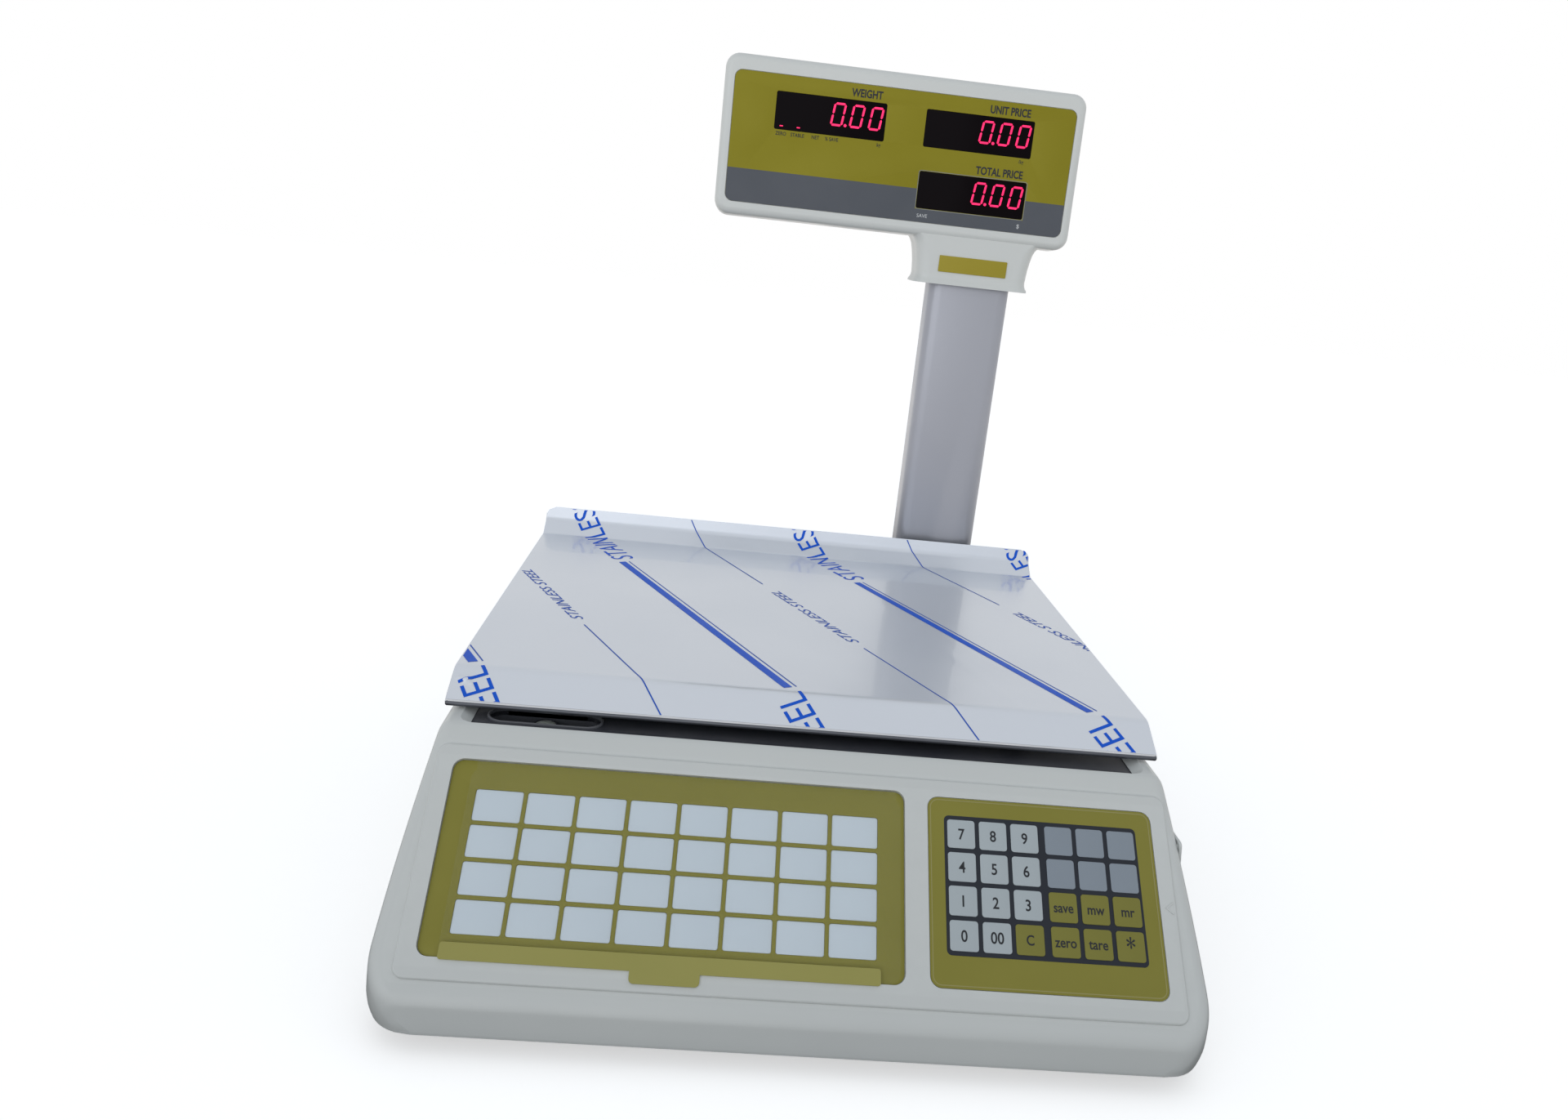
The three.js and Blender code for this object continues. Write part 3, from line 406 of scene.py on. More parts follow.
def makeGrain():
    # fine moulded or cast texture: height, and a slow tone drift
    group, given, result = newGroup("surfaceGrain", [
        ("INPUT", "Scale", "NodeSocketFloat", 900), ("INPUT", "Drift Scale", "NodeSocketFloat", 9),
        ("OUTPUT", "Height", "NodeSocketFloat", None), ("OUTPUT", "Drift", "NodeSocketFloat", None)])
    nodes, links = group.nodes, group.links
    place = coordinates(nodes, links)
    fine = nodes.new("ShaderNodeTexNoise")
    fine.inputs["Detail"].default_value = 3
    drift = nodes.new("ShaderNodeTexNoise")
    drift.inputs["Detail"].default_value = 4
    for noise, key in ((fine, "Scale"), (drift, "Drift Scale")):
        links.new(place, noise.inputs["Vector"])
        links.new(given.outputs[key], noise.inputs["Scale"])
    links.new(fine.outputs["Fac"], result.inputs["Height"])
    links.new(drift.outputs["Fac"], result.inputs["Drift"])
    return group


def makeHandling():
    # roughness that wanders between two values, as smudges and wiping leave it
    group, given, result = newGroup("handling", [
        ("INPUT", "Scale", "NodeSocketFloat", 22), ("INPUT", "Clean", "NodeSocketFloat", 0.3),
        ("INPUT", "Smudged", "NodeSocketFloat", 0.45), ("OUTPUT", "Roughness", "NodeSocketFloat", None)])
    nodes, links = group.nodes, group.links
    noise = nodes.new("ShaderNodeTexNoise")
    noise.inputs["Detail"].default_value = 6
    noise.inputs["Distortion"].default_value = 0.6
    links.new(coordinates(nodes, links), noise.inputs["Vector"])
    links.new(given.outputs["Scale"], noise.inputs["Scale"])
    span = nodes.new("ShaderNodeMapRange")
    span.inputs["From Min"].default_value = 0.35
    span.inputs["From Max"].default_value = 0.68
    links.new(noise.outputs["Fac"], span.inputs["Value"])
    links.new(given.outputs["Clean"], span.inputs["To Min"])
    links.new(given.outputs["Smudged"], span.inputs["To Max"])
    links.new(span.outputs["Result"], result.inputs["Roughness"])
    return group


def makeEdgeWearAndHighlight():
    # a mask that is high on outer edges, for wear and for a painted edge highlight, and broken up by noise
    group, given, result = newGroup("edgeWearAndHighlight", [
        ("INPUT", "Amount", "NodeSocketFloat", 0.4), ("OUTPUT", "Mask", "NodeSocketFloat", None)])
    nodes, links = group.nodes, group.links
    geometry = nodes.new("ShaderNodeNewGeometry")
    span = nodes.new("ShaderNodeMapRange")
    span.inputs["From Min"].default_value = 0.53
    span.inputs["From Max"].default_value = 0.62
    links.new(geometry.outputs["Pointiness"], span.inputs["Value"])
    noise = nodes.new("ShaderNodeTexNoise")
    noise.inputs["Scale"].default_value = 160
    links.new(coordinates(nodes, links), noise.inputs["Vector"])
    broken = mathNode(nodes, links, "MULTIPLY", span.outputs["Result"], noise.outputs["Fac"])
    links.new(mathNode(nodes, links, "MULTIPLY", broken, given.outputs["Amount"]), result.inputs["Mask"])
    return group


def makeDust():
    # a thin mask of settled dust on faces that look up
    group, given, result = newGroup("settledDust", [
        ("INPUT", "Amount", "NodeSocketFloat", 0.1), ("OUTPUT", "Mask", "NodeSocketFloat", None)])
    nodes, links = group.nodes, group.links
    geometry = nodes.new("ShaderNodeNewGeometry")
    split = nodes.new("ShaderNodeSeparateXYZ")
    links.new(geometry.outputs["Normal"], split.inputs["Vector"])
    noise = nodes.new("ShaderNodeTexNoise")
    noise.inputs["Scale"].default_value = 60
    noise.inputs["Detail"].default_value = 8
    links.new(coordinates(nodes, links), noise.inputs["Vector"])
    facing = mathNode(nodes, links, "MAXIMUM", split.outputs["Z"], 0.0)
    speckle = mathNode(nodes, links, "MULTIPLY", facing, noise.outputs["Fac"])
    links.new(mathNode(nodes, links, "MULTIPLY", speckle, given.outputs["Amount"]), result.inputs["Mask"])
    return group


def makeBrushed():
    # long fine scratches along one axis: height, and a tone that follows them
    group, given, result = newGroup("brushedLines", [
        ("INPUT", "Vector", "NodeSocketVector", None), ("INPUT", "Scale", "NodeSocketFloat", 40),
        ("OUTPUT", "Height", "NodeSocketFloat", None), ("OUTPUT", "Tone", "NodeSocketFloat", None)])
    nodes, links = group.nodes, group.links
    noise = nodes.new("ShaderNodeTexNoise")
    noise.inputs["Detail"].default_value = 5
    noise.inputs["Roughness"].default_value = 0.7
    links.new(given.outputs["Vector"], noise.inputs["Vector"])
    links.new(given.outputs["Scale"], noise.inputs["Scale"])
    links.new(noise.outputs["Fac"], result.inputs["Height"])
    span = nodes.new("ShaderNodeMapRange")
    span.inputs["From Min"].default_value = 0.3
    span.inputs["From Max"].default_value = 0.7
    links.new(noise.outputs["Fac"], span.inputs["Value"])
    links.new(span.outputs["Result"], result.inputs["Tone"])
    return group


grainGroup = makeGrain()
handlingGroup = makeHandling()
edgeWearAndHighlightGroup = makeEdgeWearAndHighlight()
dustGroup = makeDust()
brushedGroup = makeBrushed()


def groupNode(nodes, group, **values):
    node = nodes.new("ShaderNodeGroup")
    node.node_tree = group
    for key, value in values.items():
        node.inputs[key].default_value = value
    return node


def startMaterial(name):
    material = bpy.data.materials.new(name)
    material.use_nodes = True
    tree = material.node_tree
    return material, tree.nodes, tree.links, tree.nodes["Principled BSDF"]


def bumped(nodes, links, shader, height, strength, distance):
    bump = nodes.new("ShaderNodeBump")
    bump.inputs["Strength"].default_value = strength
    bump.inputs["Distance"].default_value = distance
    links.new(height, bump.inputs["Height"])
    links.new(bump.outputs["Normal"], shader.inputs["Normal"])


def moulded(name, light, dark, clean, smudged, grain=900, bump=0.15, wearAndHighlight=0.25, dust=0.06, metallic=0.0,
            coat=0.0, driftScale=9):
    # a moulded, cast or plated solid: drifting tone, outer edges painted paler as part wear and part painted highlight,
    # dust, smudges and grain
    material, nodes, links, shader = startMaterial(name)
    surface = groupNode(nodes, grainGroup, **{"Scale": grain, "Drift Scale": driftScale})
    colour = mixColour(nodes, links, surface.outputs["Drift"], light, dark)
    # outer edges are mixed towards a paler colour: part edge wear, part painted highlight
    wornAndHighlit = groupNode(nodes, edgeWearAndHighlightGroup, Amount=wearAndHighlight)
    pale = tuple(min(1, channel * 1.35 + 0.04) for channel in light[:3]) + (1,)
    colour = mixColour(nodes, links, wornAndHighlit.outputs["Mask"], colour, pale)
    settled = groupNode(nodes, dustGroup, Amount=dust)
    colour = mixColour(nodes, links, settled.outputs["Mask"], colour, linear(205, 203, 198))
    links.new(colour, shader.inputs["Base Color"])
    wiped = groupNode(nodes, handlingGroup, Clean=clean, Smudged=smudged)
    links.new(wiped.outputs["Roughness"], shader.inputs["Roughness"])
    shader.inputs["Metallic"].default_value = metallic
    shader.inputs["Coat Weight"].default_value = coat
    shader.inputs["Coat Roughness"].default_value = 0.12
    bumped(nodes, links, shader, surface.outputs["Height"], bump, 0.0002)
    return material


def brushedMetal(name, light, dark, roughness, stretch, bump=0.12):
    material, nodes, links, shader = startMaterial(name)
    lines = groupNode(nodes, brushedGroup, Scale=30)
    links.new(coordinates(nodes, links, stretch), lines.inputs["Vector"])
    links.new(mixColour(nodes, links, lines.outputs["Tone"], light, dark), shader.inputs["Base Color"])
    spread = mathNode(nodes, links, "MULTIPLY_ADD", lines.outputs["Tone"], 0.1, roughness)
    links.new(spread, shader.inputs["Roughness"])
    shader.inputs["Metallic"].default_value = 1
    bumped(nodes, links, shader, lines.outputs["Height"], bump, 0.0001)
    return material


def clearPlastic(name, tint, facing, grazing, blend=0.25):
    # thin clear plastic: see-through face on, glossier and less clear at a glance
    material, nodes, links, shader = startMaterial(name)
    shader.inputs["Base Color"].default_value = tint
    weight = nodes.new("ShaderNodeLayerWeight")
    weight.inputs["Blend"].default_value = blend
    alpha = mathNode(nodes, links, "MULTIPLY_ADD", weight.outputs["Facing"], grazing - facing, facing)
    links.new(alpha, shader.inputs["Alpha"])
    wiped = groupNode(nodes, handlingGroup, Scale=14, Clean=0.03, Smudged=0.12)
    links.new(wiped.outputs["Roughness"], shader.inputs["Roughness"])
    surface = groupNode(nodes, grainGroup, **{"Scale": 30, "Drift Scale": 9})
    bumped(nodes, links, shader, surface.outputs["Height"], 0.15, 0.0004)
    return material


def printed(name, light, dark, roughness, metallic=0.0, coat=0.0, sheen=0.5):
    # screen print on a film: even colour with a faint mottle and a fine orange-peel surface
    material, nodes, links, shader = startMaterial(name)
    surface = groupNode(nodes, grainGroup, **{"Scale": 450, "Drift Scale": 30})
    links.new(mixColour(nodes, links, surface.outputs["Drift"], light, dark), shader.inputs["Base Color"])
    wiped = groupNode(nodes, handlingGroup, Clean=roughness, Smudged=roughness + 0.12)
    links.new(wiped.outputs["Roughness"], shader.inputs["Roughness"])
    shader.inputs["Metallic"].default_value = metallic
    shader.inputs["Coat Weight"].default_value = coat
    shader.inputs["Specular IOR Level"].default_value = sheen
    bumped(nodes, links, shader, surface.outputs["Height"], 0.06, 0.0001)
    return material


def filmFinish():
    # low-tack film on the platter: milky, glossy, with slow ripples and fine press lines
    material, nodes, links, shader = startMaterial("protectiveFilm")
    surface = groupNode(nodes, grainGroup, **{"Scale": 26, "Drift Scale": 5})
    colour = mixColour(nodes, links, surface.outputs["Drift"], linear(220, 225, 233), linear(212, 218, 228))
    links.new(colour, shader.inputs["Base Color"])
    wiped = groupNode(nodes, handlingGroup, Scale=9, Clean=0.28, Smudged=0.38)
    links.new(wiped.outputs["Roughness"], shader.inputs["Roughness"])
    shader.inputs["Metallic"].default_value = 0.35
    shader.inputs["Coat Weight"].default_value = 0.5
    shader.inputs["Coat Roughness"].default_value = 0.05
    bumped(nodes, links, shader, surface.outputs["Height"], 0.03, 0.001)
    return material


def lampFinish():
    material, nodes, links, shader = startMaterial("litSegments")
    surface = groupNode(nodes, grainGroup, **{"Scale": 1200, "Drift Scale": 120})
    colour = mixColour(nodes, links, surface.outputs["Drift"], linear(240, 26, 96), linear(226, 16, 84))
    links.new(colour, shader.inputs["Emission Color"])
    links.new(colour, shader.inputs["Base Color"])
    shader.inputs["Emission Strength"].default_value = 1.0
    shader.inputs["Roughness"].default_value = 0.4
    return material


finishes = {
    "housing": moulded("mouldedHousing", linear(211, 214, 212), linear(205, 208, 207), 0.28, 0.4, 1400, 0.10,
                       0.12, 0.03),
    "black": moulded("blackMoulding", linear(46, 49, 59), linear(38, 41, 51), 0.35, 0.5, 1100, 0.2),
    # the black moulding painted lighter for the rim of the level slot: a painted highlight on the raised rim
    "blackRimHighlit": moulded("blackRimPaintedHighlight", linear(92, 94, 100), linear(84, 86, 92), 0.35, 0.5, 1100, 0.2),
    "switch": moulded("switchMoulding", linear(26, 26, 28), linear(20, 20, 22), 0.25, 0.4, 1500, 0.1),
    "cast": moulded("castAlloy", linear(150, 152, 154), linear(128, 130, 133), 0.45, 0.6, 420, 0.5, 0.5, 0.1, 0.9),
    "cell": brushedMetal("machinedAlloy", linear(205, 208, 212), linear(178, 182, 188), 0.28, (2, 40, 40)),
    "zinc": moulded("zincPlate", linear(196, 198, 200), linear(172, 174, 180), 0.25, 0.42, 700, 0.12, 0.4, 0.05, 1.0),
    "steel": brushedMetal("brushedPlatter", linear(205, 208, 212), linear(186, 190, 196), 0.24, (1.5, 60, 60)),
    # the platter's steel hem, painted dark grey: painted shade under the front lip
    "hem": moulded("foldedHemPaintedShade", linear(92, 95, 102), linear(76, 79, 86), 0.3, 0.42, 500, 0.1, 0.3, 0.0, 0.6),
    "board": moulded("circuitBoard", linear(28, 92, 52), linear(20, 74, 42), 0.35, 0.5, 260, 0.3, 0.2, 0.08, 0.0,
                     0.3, 60),
    "core": moulded("laminatedSteel", linear(120, 116, 108), linear(92, 88, 82), 0.4, 0.6, 500, 0.4, 0.4, 0.1, 0.8),
    "battery": moulded("batteryCase", linear(62, 66, 74), linear(52, 56, 62), 0.4, 0.55, 800, 0.2),
    "column": moulded("columnPaint", linear(166, 168, 177), linear(157, 159, 168), 0.3, 0.38, 1500, 0.08, 0.25,
                      0.02, 0.35, 0.15, 4),
    "cable": moulded("cableJacket", linear(160, 160, 162), linear(146, 146, 148), 0.5, 0.6, 900, 0.1),
    "rubber": moulded("footRubber", linear(26, 26, 28), linear(18, 18, 20), 0.7, 0.88, 600, 0.4),
    "vialBody": clearPlastic("vialAcrylic", linear(235, 240, 235), 0.35, 0.8),
    "fluid": moulded("vialFluid", linear(196, 222, 70), linear(180, 210, 50), 0.08, 0.14, 300, 0.02, 0.0, 0.0),
    "gold": printed("goldPrint", linear(140, 135, 60), linear(132, 127, 52), 0.36, 0.1, 0.0, 0.25),
    "badgeGold": printed("badgeGoldPrint", linear(160, 146, 44), linear(153, 139, 36), 0.36, 0.1, 0.0, 0.3),
    "labelGold": printed("labelGoldPrint", linear(140, 132, 36), linear(133, 125, 28), 0.36, 0.1, 0.0, 0.15),
    "stripGold": printed("stripGoldPrint", linear(162, 157, 84), linear(154, 149, 76), 0.3, 0.0, 0.1, 0.4),
    "goldKey": printed("goldKeyPrint", linear(132, 129, 62), linear(124, 121, 54), 0.36, 0.1, 0.0, 0.25),
    "slate": printed("slatePrint", linear(73, 78, 87), linear(66, 71, 80), 0.4),
    "dark": printed("darkPrint", linear(44, 48, 56), linear(38, 42, 50), 0.4, 0.0, 0.0, 0.2),
    "paleKey": printed("paleKeyPrint", linear(180, 189, 193), linear(173, 182, 187), 0.4),
    "blueKey": printed("blueGreyKeyPrint", linear(140, 150, 161), linear(133, 143, 154), 0.4),
    "cellPrint": printed("presetCellPrint", linear(217, 228, 238), linear(210, 222, 233), 0.36),
    "legend": printed("legendPrint", linear(50, 52, 56), linear(43, 45, 49), 0.4, 0.0, 0.0, 0.2),
    "paleLegend": printed("paleLegendPrint", linear(205, 208, 210), linear(196, 199, 202), 0.4),
    "goldEdge": printed("goldEdgeLine", linear(156, 150, 92), linear(148, 142, 84), 0.35),
    "paleLine": printed("windowLinePrint", linear(136, 138, 134), linear(128, 130, 126), 0.4),
    "clear": clearPlastic("clearFlap", linear(214, 218, 200), 0.015, 0.25, 0.15),
    "smoked": printed("smokedWindow", linear(16, 11, 14), linear(12, 8, 11), 0.12, 0.0, 0.0, 0.03),
    "film": filmFinish(),
    "filmPrint": printed("filmInk", linear(20, 88, 214), linear(28, 100, 220), 0.4, 0.0, 0.0, 0.15),
    "filmThin": printed("filmFineInk", linear(44, 90, 190), linear(56, 102, 198), 0.4, 0.0, 0.0, 0.15),
    "led": lampFinish(),
}

cadFinishes = {
    "housing": ["bottom_pan", "battery_door"],
    "cast": ["base_frame", "spider"],
    "cell": ["load_cell"],
    "zinc": ["cell_spacer_lower", "cell_spacer_upper"],
    "board": ["main_board", "power_board", "front_display_board", "rear_display_board"],
    "core": ["transformer"], "battery": ["battery"], "cable": ["column_cable"],
    "smoked": ["front_display_filter", "rear_display_filter"],
    "rubber": [], "led": [],
}
for corner in ("front_left", "front_right", "back_left", "back_right"):
    cadFinishes["zinc"].append("overload_stop_" + corner)
    cadFinishes["rubber"].append("spider_pad_" + corner)
for side in ("front", "rear"):
    for value in ("weight", "unit_price", "total_price"):
        cadFinishes["led"].append(side + "_" + value + "_leds")
for key, names in cadFinishes.items():
    for name in names:
        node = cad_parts[name]
        node.data.materials.clear()
        node.data.materials.append(finishes[key])
print("stage: finishes")

# ---- housing skin


def halfWidthAt(z):
    shape = bodyShape
    low = max(0, shape["widestAt"] - z) / (shape["widestAt"] - shape["bottom"])
    high = max(0, z - shape["widestAt"]) / (shape["top"] - shape["widestAt"])
    return shape["width"] / 2 - 2 * low * low - 10 * high ** 1.5


def cornerInset(y):
    corner = bodyShape["planCorner"]
    reach = max(corner - y, corner - (bodyShape["depth"] - y), 0)
    return corner - math.sqrt(max(corner ** 2 - reach ** 2, 0))


def curvedThrough(start, control, end, steps):
    points = []
    for step in range(1, steps + 1):
        t = step / steps
        points.append(tuple((1 - t) ** 2 * a + 2 * t * (1 - t) * b + t * t * c
                            for a, b, c in zip(start, control, end)))
    return points


def sideProfile(inset, steps):
    shape = bodyShape
    slope = math.radians(shape["slope"])
    creaseY = shape["skirtLean"] + inset
    creaseZ = shape["skirtTop"] + inset * math.tan(slope) - inset / math.cos(slope)
    top = shape["top"] - inset
    shoulderY = creaseY + (top - creaseZ) / math.tan(slope)
    back = shape["depth"] - inset
    soft, fillet = 4, shape["topFillet"]
    onSlope = (creaseY + soft * math.cos(slope), creaseZ + soft * math.sin(slope))
    path = [(inset, shape["bottom"] + 1), (creaseY - 0.6, creaseZ - soft)]
    path += curvedThrough(path[-1], (creaseY, creaseZ), onSlope, steps)
    path.append((shoulderY - 2, top - 2 * math.tan(slope)))
    path += curvedThrough(path[-1], (shoulderY, top), (shoulderY + 2.5, top), steps)
    path.append((back - fillet, top))
    path += curvedThrough(path[-1], (back, top), (back, top - fillet), steps)
    path.append((back, shape["bottom"] + 1))
    return path


def bodySkin(name, inset, floor, steps, spacing):
    shape = bodyShape
    profile = sideProfile(inset, steps)
    places = []
    for (y0, z0), (y1, z1) in zip(profile, profile[1:]):
        near = min(y0, y1) < shape["planCorner"] or max(y0, y1) > shape["depth"] - shape["planCorner"]
        pieces = max(1, math.ceil(abs(y1 - y0) / (spacing if near else 30)))
        places += [(y0 + (y1 - y0) * i / pieces, z0 + (z1 - z0) * i / pieces) for i in range(pieces)]
    places.append(profile[-1])
    rings = []
    for y, z in places:
        pull = cornerInset(y) + inset
        radius = min(max(shape["topFillet"] - inset, 2), (z - floor) * 0.45)
        shoulder = z - radius
        right = []
        for share in (0, 0.06, 0.12, 0.25, 0.5, 0.75, 1):
            height = floor + (shoulder - floor) * share
            right.append((halfWidthAt(max(height, shape["bottom"])) - pull, height))
        edge = right[-1][0]
        for step in range(1, steps + 2):
            angle = math.pi / 2 * step / (steps + 1)
            right.append((edge - radius + radius * math.cos(angle), shoulder + radius * math.sin(angle)))
        rings.append([(x, y, height) for x, height in right] + [(-x, y, height) for x, height in reversed(right)])
    return loft(name, rings)


deckShape = {
    "panel": (-163.5, 163.5, 8, 106.8, 5), "panelHeight": 1.2,
    "preset": (-155.7, 43.1, 17, 100.2, 5), "presetFloor": -0.8,
    "price": (53.2, 156, 16.8, 98.9, 5), "priceFloor": 0.5,
    "opening": (-158, 158, 88.2, 366, 7), "openingLean": 4.5,
}
switchPlace = {"y": 73, "z": 70, "width": 14, "height": 20, "lean": 7}
inletPlace = {"x": -110, "z": 44, "width": 27.5, "height": 20, "depth": 22}


def switchFrame():
    # u along the wall towards the back, v up it, n out of it
    x = halfWidthAt(switchPlace["z"])
    return (layout @ Matrix.Translation((x, switchPlace["y"], switchPlace["z"]))
            @ turnedAbout("Y", -switchPlace["lean"]) @ turnedAbout("Z", 90) @ turnedAbout("X", 90))


def openingTool():
    # the walls of the opening lean in towards the cover
    u0, u1, v0, v1, corner = deckShape["opening"]
    top, lean = bodyShape["top"], deckShape["openingLean"]
    rings = []
    for inset, z in ((lean, top - 9), (lean, top - bodyShape["wall"]), (0, top), (0, top + 9)):
        outline = roundedRect(u0 + inset, u1 - inset, v0 + inset, v1 - inset, corner - inset)
        rings.append([(x, y, z) for x, y in outline])
    return loft("opening", rings)


def addHousing():
    shape = deckShape
    shell = bodySkin("upperHousing", 0, bodyShape["bottom"], 7, 1.6)
    panel = plate("panel", [roundedRect(*shape["panel"])], -1, shape["panelHeight"], deckFrame, 1.0)
    shell = carved(shell, [panel], "UNION")
    width, height = switchPlace["width"], switchPlace["height"]
    inside = bodySkin("inside", bodyShape["wall"], bodyShape["bottom"] - 5, 3, 5)
    backFrame = layout @ Matrix.Translation((0, bodyShape["depth"], 0)) @ turnedAbout("X", 90)
    inlet = inletPlace
    cutters = [
        inside,
        plate("presetWell", [roundedRect(*shape["preset"])], shape["presetFloor"], 9, deckFrame),
        plate("priceWell", [roundedRect(*shape["price"])], shape["priceFloor"], 9, deckFrame),
        openingTool(),
        block("switchHole", (-width / 2, -height / 2, -9), (width / 2, height / 2, 9), switchFrame()),
        block("inletHole", (inlet["x"] - inlet["width"] / 2, inlet["z"] - inlet["height"] / 2, -9),
              (inlet["x"] + inlet["width"] / 2, inlet["z"] + inlet["height"] / 2, 9), backFrame),
    ]
    shell = carved(shell, cutters)
    shell = smooth(shell, 32, 0.45)
    settle(shell, "base", "housing_abs", finishes["housing"], "upper_housing")
    mark = {"u": 159.9, "v": 56, "reach": 1.7, "half": 2.7, "stroke": 0.55}
    u, v, reach, half, stroke = (mark[key] for key in ("u", "v", "reach", "half", "stroke"))
    outline = [(u - reach, v), (u + reach, v - half), (u + reach + stroke, v - half + stroke),
               (u - reach + 2 * stroke, v), (u + reach + stroke, v + half - stroke), (u + reach, v + half)]
    chevron = plate("switchMark", [outline], 1.1, 1.55, deckFrame, 0.1)
    settle(chevron, "base", "housing_abs", finishes["housing"])


addHousing()
print("stage: housing")

# ---- cover under the platter, and the level
coverShape = {
    "bottom": 96.8, "top": 99.8, "edge": (-158, 158, 90.8, 367.5, 8), "post": (120, 85, 8), "centreY": 247,
    "slot": (-147, -96.4, 98, 112), "slotRim": 1.2, "rimRise": 1.0, "wellDepth": 7, "wellFloor": 1.5,
}


def circle(x, y, radius, steps=32):
    return [(x + radius * math.cos(2 * math.pi * i / steps), y + radius * math.sin(2 * math.pi * i / steps))
            for i in range(steps)]


def grown(area, grow):
    x0, x1, y0, y1 = area
    return roundedRect(x0 - grow, x1 + grow, y0 - grow, y1 + grow, (y1 - y0) / 2 + grow - 0.01, 10)


def addCover():
    shape = coverShape
    postX, postY, postRadius = shape["post"]
    centre = shape["centreY"]
    posts = [(sx * postX, centre + sy * postY) for sx in (-1, 1) for sy in (-1, 1)]
    slot, rim = shape["slot"], shape["slotRim"]
    holes = [circle(x, y, postRadius) for x, y in posts] + [grown(slot, 0)]
    sheet = plate("sheet", [roundedRect(*shape["edge"])] + holes, shape["bottom"], shape["top"], layout, 0.4)
    pieces = [sheet]
    for x, y in posts:  # a raised collar round each post hole
        pieces.append(plate("collar", [circle(x, y, postRadius + 3), circle(x, y, postRadius)],
                            shape["top"] - 0.2, shape["top"] + 1.2, layout, 0.4))
    edge = plate("slotRim", [grown(slot, rim), grown(slot, 0)], shape["bottom"] - shape["wellDepth"],
                 shape["top"] + shape["rimRise"], layout, 0.35)
    # the rim round the level slot takes the lighter copy of the black moulding, a painted highlight
    settle(smooth(edge, 40), "base", "black_abs", finishes["blackRimHighlit"])
    floor = shape["bottom"] - shape["wellDepth"]
    pieces.append(plate("slotFloor", [grown(slot, rim / 2)], floor, floor + shape["wellFloor"], layout))
    x0, x1, y0, y1, corner = shape["edge"]
    for inset in (14, 17.5):  # two shallow stiffening ribs round the tray
        outer = roundedRect(x0 + inset + 34, x1 - inset, y0 + inset + 14, y1 - inset, corner)
        inner = roundedRect(x0 + inset + 35.5, x1 - inset - 1.5, y0 + inset + 15.5, y1 - inset - 1.5, corner - 1.5)
        pieces.append(plate("rib", [outer, inner], shape["top"] - 0.2, shape["top"] + 0.6, layout, 0.2))
    cover = smooth(joined("platformCover", pieces), 40)
    settle(cover, "base", "black_abs", finishes["black"], "platform_cover")


def addLevel():
    low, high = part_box("level_vial")
    centre = (low + high) / 2
    spot = Matrix.Translation((centre.x, centre.y, low.z)) @ Matrix.Scale(mm, 4)
    cup = lathe("levelCup", [(0, 0), (6, 0), (6, 5.2), (5.6, 5.7), (5.1, 5.7), (4.9, 5.0), (4.9, 1), (0, 1)], spot)
    settle(smooth(cup), "base", "black_abs", finishes["black"])
    fluid = lathe("levelFluid", [(0, 1.1), (4.8, 1.1), (4.8, 4.6), (3.6, 5.2), (0, 5.4)], spot)
    settle(smooth(fluid), "base", "vial_acrylic", finishes["fluid"])
    lens = lathe("levelLens", [(0, 5.6), (3, 5.5), (4.7, 5.1), (4.7, 5.5), (3, 6.2), (0, 6.5)], spot)
    settle(smooth(lens), "base", "vial_acrylic", finishes["vialBody"], "level_vial")
    ring = lathe("levelRing", [(2.0, 5.35), (2.25, 5.35), (2.25, 5.5), (2.0, 5.5)], spot, 32)
    settle(smooth(ring), "base", "vial_acrylic", finishes["dark"])
    bubble = lathe("levelBubble", [(0, 5.3), (1.3, 5.3), (1.5, 5.42), (1.2, 5.55), (0, 5.6)],
                   spot @ Matrix.Translation((0.2, -0.1, 0)), 24)
    settle(smooth(bubble), "base", "vial_acrylic", finishes["vialBody"])


addCover()
addLevel()
print("stage: cover and level")

# ---- keypads
presetShape = {
    "sheet": (-155.4, 42.8, 17.3, 99.9, 4.7), "grid": (-144.8, 31.9, 25.7, 88.3), "columns": 8, "rows": 4,
    "bar": 1.7, "low": -0.7, "high": -0.1, "cellCorner": 1.1, "cellTop": -0.42,
}
priceShape = {
    "sheet": (53.5, 155.7, 17.1, 98.6, 4.7), "grid": (61.5, 147.2, 31.2, 89.6), "columns": 6, "rows": 4,
    "bar": 1.9, "low": 0.6, "high": 1.2, "keyCorner": 1.3, "keyTop": 1.62, "frameEdge": 0.9, "middleShift": 1.2,
}


def gridCells(shape):
    u0, u1, v0, v1 = shape["grid"]
    pitchU = (u1 - u0) / shape["columns"]
    pitchV = (v1 - v0) / shape["rows"]
    half = shape["bar"] / 2
    return {(column, row): (u0 + column * pitchU + half, u0 + (column + 1) * pitchU - half,
                            v0 + row * pitchV + half, v0 + (row + 1) * pitchV - half)
            for column in range(shape["columns"]) for row in range(shape["rows"])}


def addPresetKeypad():
    shape = presetShape
    cells = [roundedRect(*area, shape["cellCorner"], 4) for area in gridCells(shape).values()]
    sheet = plate("presetKeypad", [roundedRect(*shape["sheet"])] + cells, shape["low"], shape["high"], deckFrame,
                  0.06)
    settle(smooth(sheet, 40), "base", "gold_print", finishes["gold"], "preset_keypad")
    domes = []
    for area in gridCells(shape).values():
        u0, u1, v0, v1 = area
        domes.append(plate("cell", [roundedRect(u0 + 0.1, u1 - 0.1, v0 + 0.1, v1 - 0.1, 1.0, 4)], shape["low"],
                           shape["cellTop"], deckFrame, 0.1))
    settle(smooth(joined("presetCells", domes), 50), "base", "label_print", finishes["cellPrint"])


